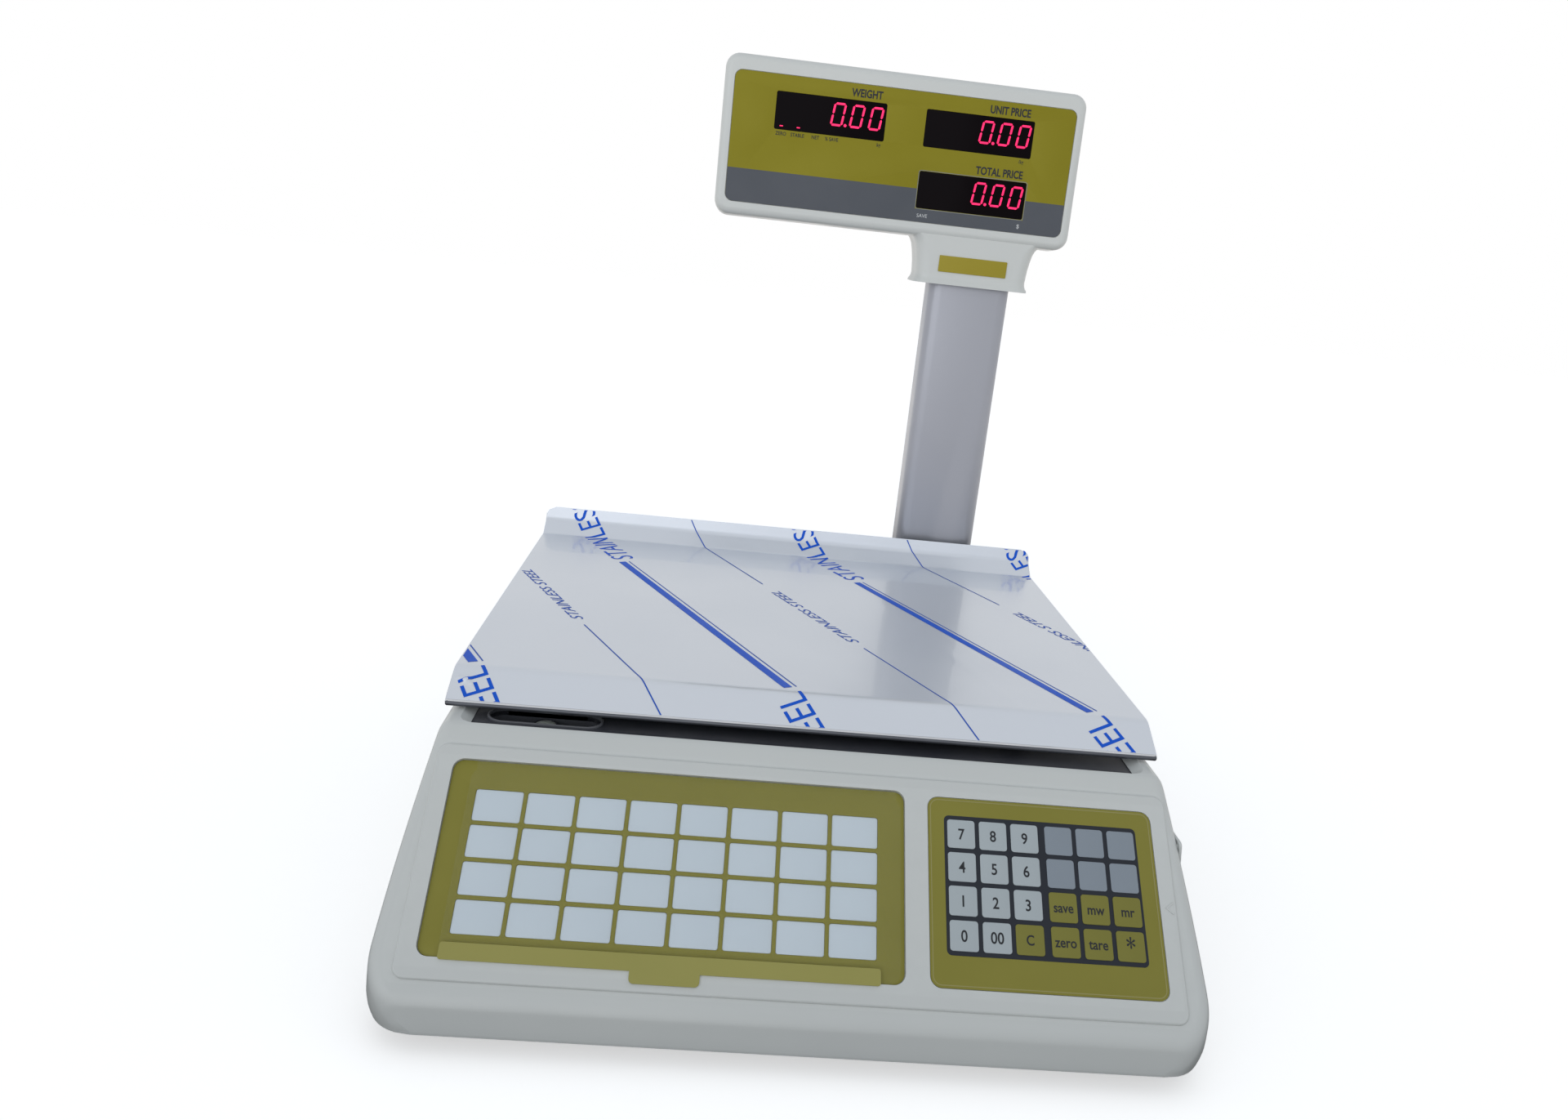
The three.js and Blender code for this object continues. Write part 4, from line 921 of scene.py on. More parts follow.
keyLegends = {
    (0, 3): ("paleKey", "7"), (1, 3): ("paleKey", "8"), (2, 3): ("paleKey", "9"),
    (0, 2): ("paleKey", "4"), (1, 2): ("paleKey", "5"), (2, 2): ("paleKey", "6"),
    (0, 1): ("paleKey", "1"), (1, 1): ("paleKey", "2"), (2, 1): ("paleKey", "3"),
    (0, 0): ("paleKey", "0"), (1, 0): ("paleKey", "00"), (2, 0): ("goldKey", "C"),
    (3, 3): ("blueKey", ""), (4, 3): ("blueKey", ""), (5, 3): ("blueKey", ""),
    (3, 2): ("blueKey", ""), (4, 2): ("blueKey", ""), (5, 2): ("blueKey", ""),
    (3, 1): ("goldKey", "save"), (4, 1): ("goldKey", "mw"), (5, 1): ("goldKey", "mr"),
    (3, 0): ("goldKey", "zero"), (4, 0): ("goldKey", "tare"), (5, 0): ("goldKey", "*"),
}


def addPriceKeypad():
    shape = priceShape
    label = plate("priceLabel", [roundedRect(*shape["sheet"])], shape["low"], shape["high"], deckFrame, 0.1)
    settle(smooth(label, 40), "base", "gold_print", finishes["gold"], "price_keypad")
    u0, u1, v0, v1, corner = shape["sheet"]
    # a ring of paler gold just inside the label's edge
    line = plate("priceLabelLine", [roundedRect(u0 + 0.9, u1 - 0.9, v0 + 0.9, v1 - 0.9, corner - 0.9),
                                    roundedRect(u0 + 1.3, u1 - 1.3, v0 + 1.3, v1 - 1.3, corner - 1.3)],
                 shape["high"], shape["high"] + 0.04, deckFrame)
    settle(line, "base", "label_print", finishes["goldEdge"])
    g0, g1, h0, h1 = shape["grid"]
    edge = shape["frameEdge"]
    shift, top = shape["middleShift"], shape["high"]
    field = plate("priceKeyFrame", [roundedRect(g0 - edge, g1 + edge, h0 - edge, h1 + edge, 2.2)], top,
                  top + 0.12, deckFrame, 0.04)
    settle(smooth(field, 40), "base", "label_print", finishes["dark"])
    keys = {"paleKey": [], "blueKey": [], "goldKey": []}
    legends = []
    for (column, row), (finish, words) in keyLegends.items():
        a0, a1, b0, b1 = gridCells(shape)[(column, row)]
        move = -shift * 0.4 if column < 3 else shift * 0.6
        a0, a1 = a0 + move, a1 + move
        keys[finish].append(plate("key", [roundedRect(a0, a1, b0, b1, shape["keyCorner"], 5)], top + 0.05,
                                  shape["keyTop"], deckFrame, 0.2))
        if words:
            cap = 4.8 if words.isdigit() else 7.5 if words == "*" else 4.2
            at = ((a0 + a1) / 2, (b0 + b1) / 2 - cap / 2, shape["keyTop"] + 0.03)
            legends.append(lettering("legend", words, cap, at, deckFrame, "CENTER", 0.03, 0.0, 0.1, 0.86))
    for finish, members in keys.items():
        settle(smooth(joined(finish + "s", members), 50), "base", "gold_print" if finish == "goldKey" else
               "label_print", finishes[finish])
    settle(joined("priceLegends", legends), "base", "label_print", finishes["legend"])


flapShape = {
    "plate": (-147, 41, 17.2, 96.6, 5), "low": 0.2, "thick": 0.8, "strip": (-146.5, 32.5, 16.1, 22.9),
    "tab": (-70.2, -41.7, 11.2, 22), "stripTop": 2.0, "bead": (-145, 39, 98, 1.4, 1.2),
}


def addFlap():
    shape = flapShape
    low, high = shape["low"], shape["low"] + shape["thick"]
    sheet = plate("flapSheet", [roundedRect(*shape["plate"])], low, high, deckFrame, 0.25)
    u0, u1, v, n, radius = shape["bead"]
    rings = [[(u, v + radius * math.cos(a), n + radius * math.sin(a))
              for a in [2 * math.pi * i / 20 for i in range(20)]] for u in (u0, u0 + 0.4, u1 - 0.4, u1)]
    bead = loft("flapBead", rings, deckFrame)
    web = block("flapWeb", (u0, shape["plate"][3] - 1, low + 0.1), (u1, v, high), deckFrame)
    flap = carved(sheet, [web, bead], "UNION")
    flap.name = "presetFlap"
    settle(smooth(flap, 35), "preset_cover", "clear_acrylic", finishes["clear"], "preset_cover")
    s0, s1, t0, t1 = shape["strip"]
    strip = plate("flapStrip", [roundedRect(s0, s1, t0, t1, 1.2)], high + 0.02, shape["stripTop"], deckFrame)
    a0, a1, b0, b1 = shape["tab"]
    tab = plate("flapTab", [roundedRect(a0, a1, b0, b1, 2)], high + 0.3, shape["stripTop"], deckFrame)
    strip = carved(strip, [tab], "UNION")
    strip.name = "presetFlapStrip"
    settle(smooth(strip, 35), "preset_cover", "gold_print", finishes["stripGold"])


addPresetKeypad()
addPriceKeypad()
addFlap()
print("stage: keypads and flap")

# ---- platter, its film and the print on the film
platterShape = {
    "top": 116.65, "sheet": 1.0, "halfWidth": 167.2, "frontFlat": 120.3, "backFlat": 373.4,
    "frontY": 101.2, "frontZ": 106.4, "hem": 1.6, "backY": 378.7, "backZ": 132.3, "corner": 6,
    "flange": 4, "filmGap": 0.12, "inkGap": 0.24, "hemTube": (102.2, 105.5, 1.3), "filmStart": 3.4,
}


def platterPath(film=False):
    # (y, z) points of the upper surface from the hem at the front to the top of the back lip
    shape = platterShape
    top, front, back = shape["top"], shape["frontFlat"], shape["backFlat"]
    path = [(shape["frontY"] + 0.9, shape["frontZ"] - shape["hem"]), (shape["frontY"] + 0.1, shape["frontZ"] - 1.2),
            (shape["frontY"], shape["frontZ"] - 0.5), (shape["frontY"] + 0.3, shape["frontZ"] + 0.2)]
    path.append((front - 2.6, top - 1.4))
    path += curvedThrough(path[-1], (front, top), (front + 3, top), 8)
    if film:  # the film is stretched across the inside of the back bend
        path.append((back - 9.6, top))
        path += curvedThrough(path[-1], (back - 8.2, top), (back - 7.1, top + 0.85), 4)
        path.append((back + 2.6, top + 7.7))
    else:
        path.append((back - 2.5, top))
        path += curvedThrough(path[-1], (back, top), (back + 0.8, top + 2.4), 8)
    path.append((shape["backY"], shape["backZ"]))
    return path


class Track:
    # places points on the platter's surface by their distance along it, t = y on the flat
    def __init__(self, path):
        self.path = path
        self.marks = [0.0]
        for (y0, z0), (y1, z1) in zip(path, path[1:]):
            self.marks.append(self.marks[-1] + math.hypot(y1 - y0, z1 - z0))
        flatStart = next(i for i, (y, z) in enumerate(path) if z == platterShape["top"])
        self.offset = path[flatStart][0] - self.marks[flatStart]
        self.first = self.offset
        self.last = self.offset + self.marks[-1]

    def at(self, t, rise=0.0):
        distance = min(max(t - self.offset, 0.0), self.marks[-1])
        i = 0
        while i < len(self.marks) - 2 and self.marks[i + 1] < distance:
            i += 1
        share = (distance - self.marks[i]) / (self.marks[i + 1] - self.marks[i])
        (y0, z0), (y1, z1) = self.path[i], self.path[i + 1]
        length = math.hypot(y1 - y0, z1 - z0)
        return (y0 + (y1 - y0) * share - rise * (z1 - z0) / length,
                z0 + (z1 - z0) * share + rise * (y1 - y0) / length)

    def stops(self, spacing):
        values = [self.offset + mark for mark in self.marks]
        out = []
        for a, b in zip(values, values[1:]):
            pieces = max(1, math.ceil((b - a) / spacing))
            out += [a + (b - a) * i / pieces for i in range(pieces)]
        return out + [values[-1]]


track = Track(platterPath())
filmTrack = Track(platterPath(True))


def halfWidthOnLip(t, inset=0.0, track=track):
    # the back lip's upper corners and the front lip's lower corners are rounded
    shape = platterShape
    reach = max(shape["corner"] - (track.last - t), 0)
    pull = shape["corner"] - math.sqrt(max(shape["corner"] ** 2 - reach ** 2, 0))
    frontCorner = 1.6
    reach = max(frontCorner - (t - track.first - 1.5), 0)
    reach = min(reach, frontCorner)
    pull += frontCorner - math.sqrt(max(frontCorner ** 2 - reach ** 2, 0))
    return shape["halfWidth"] - pull - inset


def addPlatter():
    shape = platterShape
    rows = track.stops(6)
    steps = 24
    points, faces = [], []
    edge = [(1.0, 0.0), (1.35, 0.5), (1.5, 1.2)]
    for t in rows:
        y, z = track.at(t)
        half = halfWidthOnLip(t) - 1.5
        flat = min(max((t - shape["frontFlat"] - 8) / 5, 0), 1) * min(max((shape["backFlat"] - 8 - t) / 5, 0), 1)
        depth = 1.2 + (shape["flange"] - 1.4) * flat
        across = [half * (2 * i / steps - 1) for i in range(steps + 1)]
        row = [(-half - 1.5, -depth), (-half - 1.5, -1.2), (-half - 1.35, -0.5), (-half - 1.0, -0.15)]
        row += [(x, 0.0) for x in across]
        row += [(half + 1.0, -0.15), (half + 1.35, -0.5), (half + 1.5, -1.2), (half + 1.5, -depth)]
        if flat < 0.01:  # on the lips the edge is only rolled under a little, square to the sheet
            for x, drop in row:
                lipY, lipZ = track.at(t, drop * 0.5)
                points.append((x, lipY, lipZ))
        else:
            points += [(x, y, z + drop) for x, drop in row]
    count = steps + 9
    for i in range(len(rows) - 1):
        for j in range(count - 1):
            a = i * count + j
            faces.append((a, a + 1, a + count + 1, a + count))
    sheet = newPiece("platterSheet", points, faces)
    if sum(polygon.normal.z for polygon in sheet.data.polygons) < 0:
        sheet.data.flip_normals()
    thick = sheet.modifiers.new("thickness", "SOLIDIFY")
    thick.thickness = 0.9 * mm
    thick.offset = -1
    platter = baked(sheet)
    platter.name = "steelPlatter"
    settle(smooth(platter, 45), "platter", "stainless_platter", finishes["steel"], "platter")
    y, z, radius = shape["hemTube"]
    half = shape["halfWidth"] - 0.9
    rings = [[(x, y + reach * math.cos(angle), z + reach * math.sin(angle))
              for angle in [2 * math.pi * i / 24 for i in range(24)]]
             for x, reach in ((-half - 0.5, radius - 0.4), (-half, radius), (half, radius), (half + 0.5, radius - 0.4))]
    # the rolled hem takes a dark grey steel finish that paints the shade under the lip
    hem = smooth(loft("platterHem", rings), 35)
    settle(hem, "platter", "stainless_platter", finishes["hem"])


def ripple(x, t):
    # the film lifts a little where it bridges the bends, and has a few soft creases
    front = math.exp(-((t - platterShape["frontFlat"] - 2) / 4.5) ** 2)
    back = math.exp(-((t - platterShape["backFlat"] + 8) / 2.5) ** 2)
    wave = math.sin(x * 0.21 + 1.3 * math.sin(x * 0.043)) * 0.5 + math.sin(x * 0.083 + 2.1) * 0.5
    slack = 0.12 * front * (0.5 + 0.5 * wave) + 0.22 * back * (0.55 + 0.45 * math.sin(x * 0.13 + 0.9 * wave))
    fold = 0.10 * math.exp(-((x + 0.35 * (t - 240) - 64) / 3.0) ** 2)
    return slack + fold + 0.05 * math.sin(x * 0.031 + t * 0.023) ** 2


bubbles = [(-160.2, 112.1, 3.2, 1.2), (-163.4, 112.8, 2.2, 0.8), (-157.4, 110.0, 2.0, 0.7)]


def bubbleRise(x, t):
    return sum(height * math.exp(-((x - bx) ** 2 + (t - bt) ** 2) / (radius * 0.55) ** 2)
               for bx, bt, radius, height in bubbles)


def filmEdge(t):
    return halfWidthOnLip(t, 0.35, filmTrack)


def addFilm():
    start = filmTrack.first + platterShape["filmStart"]
    rows = [start] + [t for t in filmTrack.stops(2.2) if t > start + 0.3]
    fine = [i / 60 for i in range(-60, 61)] + [b[0] / 167 + s / 167 * 0.8 for b in bubbles for s in range(-4, 5)]
    shares = sorted(set(round(value, 4) for value in fine if abs(value) <= 1))
    rows = sorted(set([round(t, 3) for t in rows] + [round(103.3 + 0.8 * i, 3) for i in range(16)]))
    points, faces = [], []
    for t in rows:
        half = filmEdge(t)
        for share in shares:
            x = half * share
            hold = min(1.0, (half - abs(x)) / 3)
            lift = platterShape["filmGap"] + (ripple(x, t) * hold + bubbleRise(x, t))
            y, z = filmTrack.at(t, lift)
            points.append((x, y, z))
    count = len(shares)
    for i in range(len(rows) - 1):
        for j in range(count - 1):
            a = i * count + j
            faces.append((a, a + 1, a + count + 1, a + count))
    film = newPiece("protectiveFilm", points, faces)
    if sum(polygon.normal.z for polygon in film.data.polygons) < 0:
        film.data.flip_normals()
    thick = film.modifiers.new("thickness", "SOLIDIFY")
    thick.thickness = 0.06 * mm
    thick.offset = -1
    film = baked(film)
    film.name = "platterFilm"
    settle(smooth(film, 60), "platter", "stainless_platter", finishes["film"])


inkShape = {
    "pitch": 149.6, "middleX": -59.65, "middleT": 219.65, "halfLength": 106.2, "stripe": 4.6, "fine": 0.7,
    "fineShift": 4.6, "capHeight": 14.5, "length": 134, "gap": 7, "aside": 3.8,
    "rowShift": 77.5, "smallCap": 6, "rowLine": 0.7,
    "rowText": (197.6, 278.4), "rowLength": 91.2, "rowGap": 7, "words": "STAINLESS STEEL",
}
along = Vector((0.4643, -0.8857, 0))  # down the stripes, towards the front right
inkTurn = Matrix.Rotation(math.atan2(-along.y, -along.x), 4, "Z")  # the words read towards the back left


def strip(start, end, width):
    # a thin rectangle between two points given as x and t
    start, end = Vector(start), Vector(end)
    side = Vector((start.y - end.y, end.x - start.x)).normalized() * width / 2
    corners = [start + side, start - side, end - side, end + side]
    return newPiece("strip", [(c.x, c.y, 0) for c in corners], [(0, 1, 2, 3)], Matrix())


def flatWords(cap, at, align, lean, bold, length):
    frameOfWords = Matrix.Translation((at[0], at[1], 0)) @ inkTurn
    return lettering("words", inkShape["words"], cap, (0, -cap / 2, 0), frameOfWords, align, 0.0, lean, bold,
                     length=length)


def inkPieces():
    shape = inkShape
    bold, fine = [], []
    direction = Vector((along.x, along.y))
    sideways = Vector((-direction.y, direction.x))
    for k in range(-2, 3):
        middle = Vector((shape["middleX"] + shape["pitch"] * k, shape["middleT"]))
        head, tail = middle - direction * shape["halfLength"], middle + direction * shape["halfLength"]
        bold.append(strip(head, tail, shape["stripe"]))
        fine.append(strip(head + sideways * shape["fineShift"], tail + sideways * shape["fineShift"], shape["fine"]))
        aside = Vector((shape["aside"], 0))
        for point, align in ((head - direction * shape["gap"] + aside, "LEFT"),
                             (tail + direction * shape["gap"] - aside, "RIGHT")):
            bold.append(flatWords(shape["capHeight"], point, align, 0.0, -0.05, shape["length"]))
        row = middle + Vector((shape["rowShift"], 0))
        frontT, backT = shape["rowText"]
        slope = direction.x / direction.y
        ends = [(row.x + (t - row.y) * slope, t) for t in (filmTrack.first - 10, frontT - shape["rowGap"],
                                                          backT + shape["rowGap"] * 2, filmTrack.last + 10)]
        fine.append(strip(ends[0], ends[1], shape["rowLine"]))
        fine.append(strip(ends[2], ends[3], shape["rowLine"]))
        start = (row.x + (frontT - row.y) * slope, frontT)
        fine.append(flatWords(shape["smallCap"], start, "LEFT", 0.35, 0.0, shape["rowLength"]))
    return bold, fine


def wrapped(name, flats):
    # cuts flat print to the film's outline, splits it at the bends and lays it on the film
    piece = joined(name, flats)
    shell = bmesh.new()
    shell.from_mesh(piece.data)
    limits = [((166.2, 0, 0), (1, 0, 0)), ((-166.2, 0, 0), (-1, 0, 0)),
              ((0, filmTrack.first + platterShape["filmStart"] + 0.3, 0), (0, -1, 0)),
              ((0, filmTrack.last - 0.6, 0), (0, 1, 0))]
    for spot, normal in limits:
        bmesh.ops.bisect_plane(shell, geom=shell.verts[:] + shell.edges[:] + shell.faces[:], plane_co=spot,
                               plane_no=normal, clear_outer=True)
    bends = [t for t in filmTrack.stops(1.2)
             if t < platterShape["frontFlat"] + 12 or t > platterShape["backFlat"] - 14]
    for t in bends + [140 + 8 * i for i in range(29)]:
        bmesh.ops.bisect_plane(shell, geom=shell.verts[:] + shell.edges[:] + shell.faces[:],
                               plane_co=(0, t, 0), plane_no=(0, 1, 0))
    bmesh.ops.dissolve_degenerate(shell, edges=shell.edges, dist=0.0005)
    for vert in shell.verts:
        x, t = vert.co.x, vert.co.y
        half = filmEdge(t)
        x = max(min(x, half - 0.2), 0.2 - half)
        hold = min(1.0, (half - abs(x)) / 3)
        y, z = filmTrack.at(t, platterShape["inkGap"] + ripple(x, t) * hold + bubbleRise(x, t))
        vert.co = layout @ Vector((x, y, z))
    bmesh.ops.triangulate(shell, faces=shell.faces)
    bmesh.ops.recalc_face_normals(shell, faces=shell.faces)
    shell.to_mesh(piece.data)
    shell.free()
    thick = piece.modifiers.new("thickness", "SOLIDIFY")
    thick.thickness = 0.04 * mm
    thick.offset = -1
    return baked(piece)


def addInk():
    bold, fine = inkPieces()
    settle(smooth(wrapped("filmStripes", bold), 60), "platter", "stainless_platter", finishes["filmPrint"])
    settle(smooth(wrapped("filmFineLines", fine), 60), "platter", "stainless_platter", finishes["filmThin"])


addPlatter()
addFilm()
addInk()
print("stage: platter and film")

# ---- column, its bracket and screws
columnShape = {"bottom": 24, "top": 329, "bracketWall": 4, "bracketBottom": 20, "bracketTop": 92,
               "flangeHalfWidth": 52, "flange": 4, "screwEdge": 7, "screwIn": 10, "gap": 0.3}


def columnOutline(grow, steps=8):
    spot = columnPlace
    half, deep = spot["width"] / 2 + grow, spot["depth"] / 2 + grow
    return roundedRect(spot["x"] - half, spot["x"] + half, spot["y"] - deep, spot["y"] + deep,
                       spot["corner"] + grow, steps)


def cableMouth(y0, y1):
    x = columnPlace["x"]
    return block("mouth", (x - 8, y0, 29), (x + 8, y1, 45), layout)


def addColumn():
    shape, spot = columnShape, columnPlace
    tube = plate("tube", [columnOutline(0), columnOutline(-spot["wall"])], shape["bottom"], shape["top"], layout, 0.3)
    tube = carved(tube, [cableMouth(spot["y"] - spot["depth"], spot["y"])])
    tube.name = "columnTube"
    settle(smooth(tube, 30), "base", "column_finish", finishes["column"], "column")
    socket = plate("socket", [columnOutline(shape["bracketWall"])], shape["bracketBottom"], shape["bracketTop"],
                   layout, 0.8)
    half, deep = shape["flangeHalfWidth"], bodyShape["depth"]
    outline = roundedRect(spot["x"] - half, spot["x"] + half, shape["bracketBottom"] + 2, shape["bracketTop"] - 2, 5)
    back = layout @ Matrix.Translation((0, deep + shape["gap"], 0)) @ turnedAbout("X", 90)
    flange = plate("flange", [outline], -shape["flange"], 0, back, 0.5)
    ribs = [block("rib", (spot["x"] + side * 31 - 1.5, deep + 1, 28), (spot["x"] + side * 31 + 1.5, deep + 22, 84),
                  layout, 0.5) for side in (-1, 1)]
    bracket = carved(socket, [flange] + ribs, "UNION")
    bore = plate("bore", [columnOutline(shape["gap"])], shape["bracketBottom"] + 3, shape["bracketTop"] + 9, layout)
    bracket = carved(bracket, [bore, cableMouth(deep - 9, spot["y"])])
    bracket.name = "columnBracket"
    settle(smooth(bracket, 32, 0.3), "base", "housing_abs", finishes["housing"], "column_bracket")
    reach = half - shape["screwEdge"]
    heights = (shape["bracketBottom"] + shape["screwIn"], shape["bracketTop"] - shape["screwIn"])
    for index, (side, z) in enumerate([(side, z) for side in (-1, 1) for z in heights]):
        addScrew("bracketScrew" + str(index + 1), (spot["x"] + side * reach, deep + shape["gap"] + shape["flange"], z),
                 4.4, turnedAbout("X", -90), "bracket_screw_" + str(index + 1))


def addScrew(name, at, radius, turn, *nodes):
    # a pan-head screw with a cross recess, its axis along the frame's z
    spot = layout @ Matrix.Translation(at) @ turn
    head = lathe("screwHead", [(0, -3), (radius * 0.5, -3), (radius * 0.5, 0), (radius, 0), (radius, 0.7),
                               (radius * 0.86, 1.6), (radius * 0.5, 2.25), (0, 2.45)], spot, 32)
    arm, wide = radius * 0.52, radius * 0.13
    cross = [block("arm", (-a, -b, 1.1), (a, b, 4), spot) for a, b in ((arm, wide), (wide, arm))]
    head = carved(head, cross)
    head.name = name
    settle(smooth(head, 35), "base", "zinc_steel", finishes["zinc"], *nodes)


addColumn()
print("stage: column")

# ---- display head
windowSize = (70.5, 23.1)
labelShape = {"x": 0, "z": 47.75, "width": 220.6, "height": 80.1, "corner": 5, "thickness": 0.8}
windows = {"weight": (-47.65, 18.35), "unit_price": (48.35, 18.35), "total_price": (48.35, -19.65)}
neckShape = {"x": 100.6, "width": 73.5, "bottom": 306, "depth": 36, "corner": 8, "flare": 1.8,
             "plate": (99.8, 319.2, 45.2, 10.4, 0.6)}


def headRing(inset, depth):
    half = headShape["width"] / 2 - inset
    corner = max(headShape["corner"] - inset, 1.5)
    return [(u, v, -depth) for u, v in roundedRect(-half, half, inset, headShape["height"] - inset, corner, 7)]


def headBlank(name, inset, depth, turned):
    rings = []
    edge = headShape["edge"]
    for step in range(0, 9):
        angle = math.pi / 2 * step / 8
        pull, back = edge * (1 - math.sin(angle)) * 0.92, edge * (1 - math.cos(angle)) * 0.95
        rings.append(headRing(inset + pull, inset + back))
    rings.append(headRing(inset, inset + edge))
    rings.append(headRing(inset, depth))
    return loft(name, rings, faceFrame(turned))


def neckRing(z, width, grow):
    spot, shape = columnPlace, neckShape
    half, deep = width / 2 + grow, shape["depth"] / 2 + grow
    outline = roundedRect(shape["x"] - half, shape["x"] + half, spot["y"] - deep, spot["y"] + deep,
                          shape["corner"], 8)
    return [(x, y, z) for x, y in outline]


def neckBlank():
    shape = neckShape
    base, width = shape["bottom"], shape["width"]
    heights = [(0, 0, 1.0), (1.2, 0, 0.85), (2.4, 0, 0.45), (4, 0, 0.12), (6, 0, 0), (14, 1.2, 0), (20, 3.2, 0),
               (24, 5, 0), (27, 7.6, 0), (29, 10.8, 0), (30.7, 15, 0), (32, 20, 0)]
    return loft("neck", [neckRing(base + rise, width + more, shape["flare"] * flare) for rise, more, flare in heights])


def labelOutline(inset):
    shape = labelShape
    u, v, half, tall = shape["x"], shape["z"], shape["width"] / 2 - inset, shape["height"] / 2 - inset
    return roundedRect(u - half, u + half, v - tall, v + tall, shape["corner"] - inset, 7)


def windowOutline(spot, grow, corner=1.2):
    u, v = labelShape["x"] + spot[0], labelShape["z"] + spot[1]
    half, tall = windowSize[0] / 2 + grow, windowSize[1] / 2 + grow
    return roundedRect(u - half, u + half, v - tall, v + tall, corner, 4)


def addHeadShell(side, turned):
    spot, gap = columnPlace, columnShape["gap"]
    face = faceFrame(turned)
    shell = carved(headBlank("outside", 0, headShape["halfDepth"] * 2, turned), [neckBlank()], "UNION")
    y = spot["y"]
    if turned:
        half = block("half", (-200, y - 60, 250), (300, y + gap / 2, 500))
    else:
        half = block("half", (-200, y - gap / 2, 250), (300, y + 60, 500))
    cutters = [
        headBlank("inside", headShape["wall"], headShape["halfDepth"] * 2 + 9, turned),
        plate("seat", [labelOutline(0)], -labelShape["thickness"] - 0.1, 9, face),
        plate("hollow", [columnOutline(gap)], neckShape["bottom"] - 9, headShape["bottom"] + 8, layout), half,
    ]
    cutters += [plate("window", [windowOutline(place, 1.5)], -9, 9, face) for place in windows.values()]
    shell = carved(shell, cutters)
    shell.name = side + "HeadShell"
    settle(smooth(shell, 32, 0.3), "base", "housing_abs", finishes["housing"], "head_" + side + "_shell")


segmentShape = {"height": 14.3, "width": 8.0, "pitch": 12.1, "stroke": 1.3, "gap": 0.25, "lean": 0.14, "margin": 1.3}
zeroSegments = ("top", "upperLeft", "upperRight", "lowerLeft", "lowerRight", "bottom")


def segmentOutlines(left, bottom):
    shape = segmentShape
    w, h, s, g = shape["width"], shape["height"], shape["stroke"], shape["gap"]

    def lying(v):
        return [(g + s * 0.5, v), (g + s, v + s / 2), (w - g - s, v + s / 2), (w - g - s * 0.5, v),
                (w - g - s, v - s / 2), (g + s, v - s / 2)]

    def standing(u, v0, v1):
        return [(u, v0 + g), (u + s / 2, v0 + g + s / 2), (u + s / 2, v1 - g - s / 2), (u, v1 - g),
                (u - s / 2, v1 - g - s / 2), (u - s / 2, v0 + g + s / 2)]

    shapes = {
        "top": lying(h - s / 2), "bottom": lying(s / 2),
        "upperLeft": standing(s / 2, h / 2, h - s / 2), "upperRight": standing(w - s / 2, h / 2, h - s / 2),
        "lowerLeft": standing(s / 2, s / 2, h / 2), "lowerRight": standing(w - s / 2, s / 2, h / 2),
    }
    lean = shape["lean"]
    return [[(left + u + lean * v, bottom + v) for u, v in shapes[key]] for key in zeroSegments]


def addDigits(name, window, face, indicators):
    u, v = labelShape["x"] + window[0], labelShape["z"] + window[1]
    shape = segmentShape
    right = u + windowSize[0] / 2 - shape["margin"]
    bottom = v - shape["height"] / 2 + 1.6
    lit = []
    for index in range(3):
        left = right - shape["width"] - shape["pitch"] * index - shape["lean"] * shape["height"]
        lit += [plate("segment", [outline], -0.3, -0.18, face) for outline in segmentOutlines(left, bottom)]
    pointLeft = right - shape["width"] - shape["pitch"] * 1 - shape["lean"] * shape["height"] - 2.2
    lit.append(plate("point", [circle(pointLeft, bottom + 0.9, 0.95, 16)], -0.3, -0.18, face))
    if indicators:
        for u0 in (-31.8, -20.9):
            lit.append(plate("indicator", [roundedRect(u + u0, u + u0 + 2.2, v - 9.6, v - 8.9, 0.3, 3)], -0.3, -0.18,
                             face))
    settle(joined(name, lit), "base", "led_red", finishes["led"])


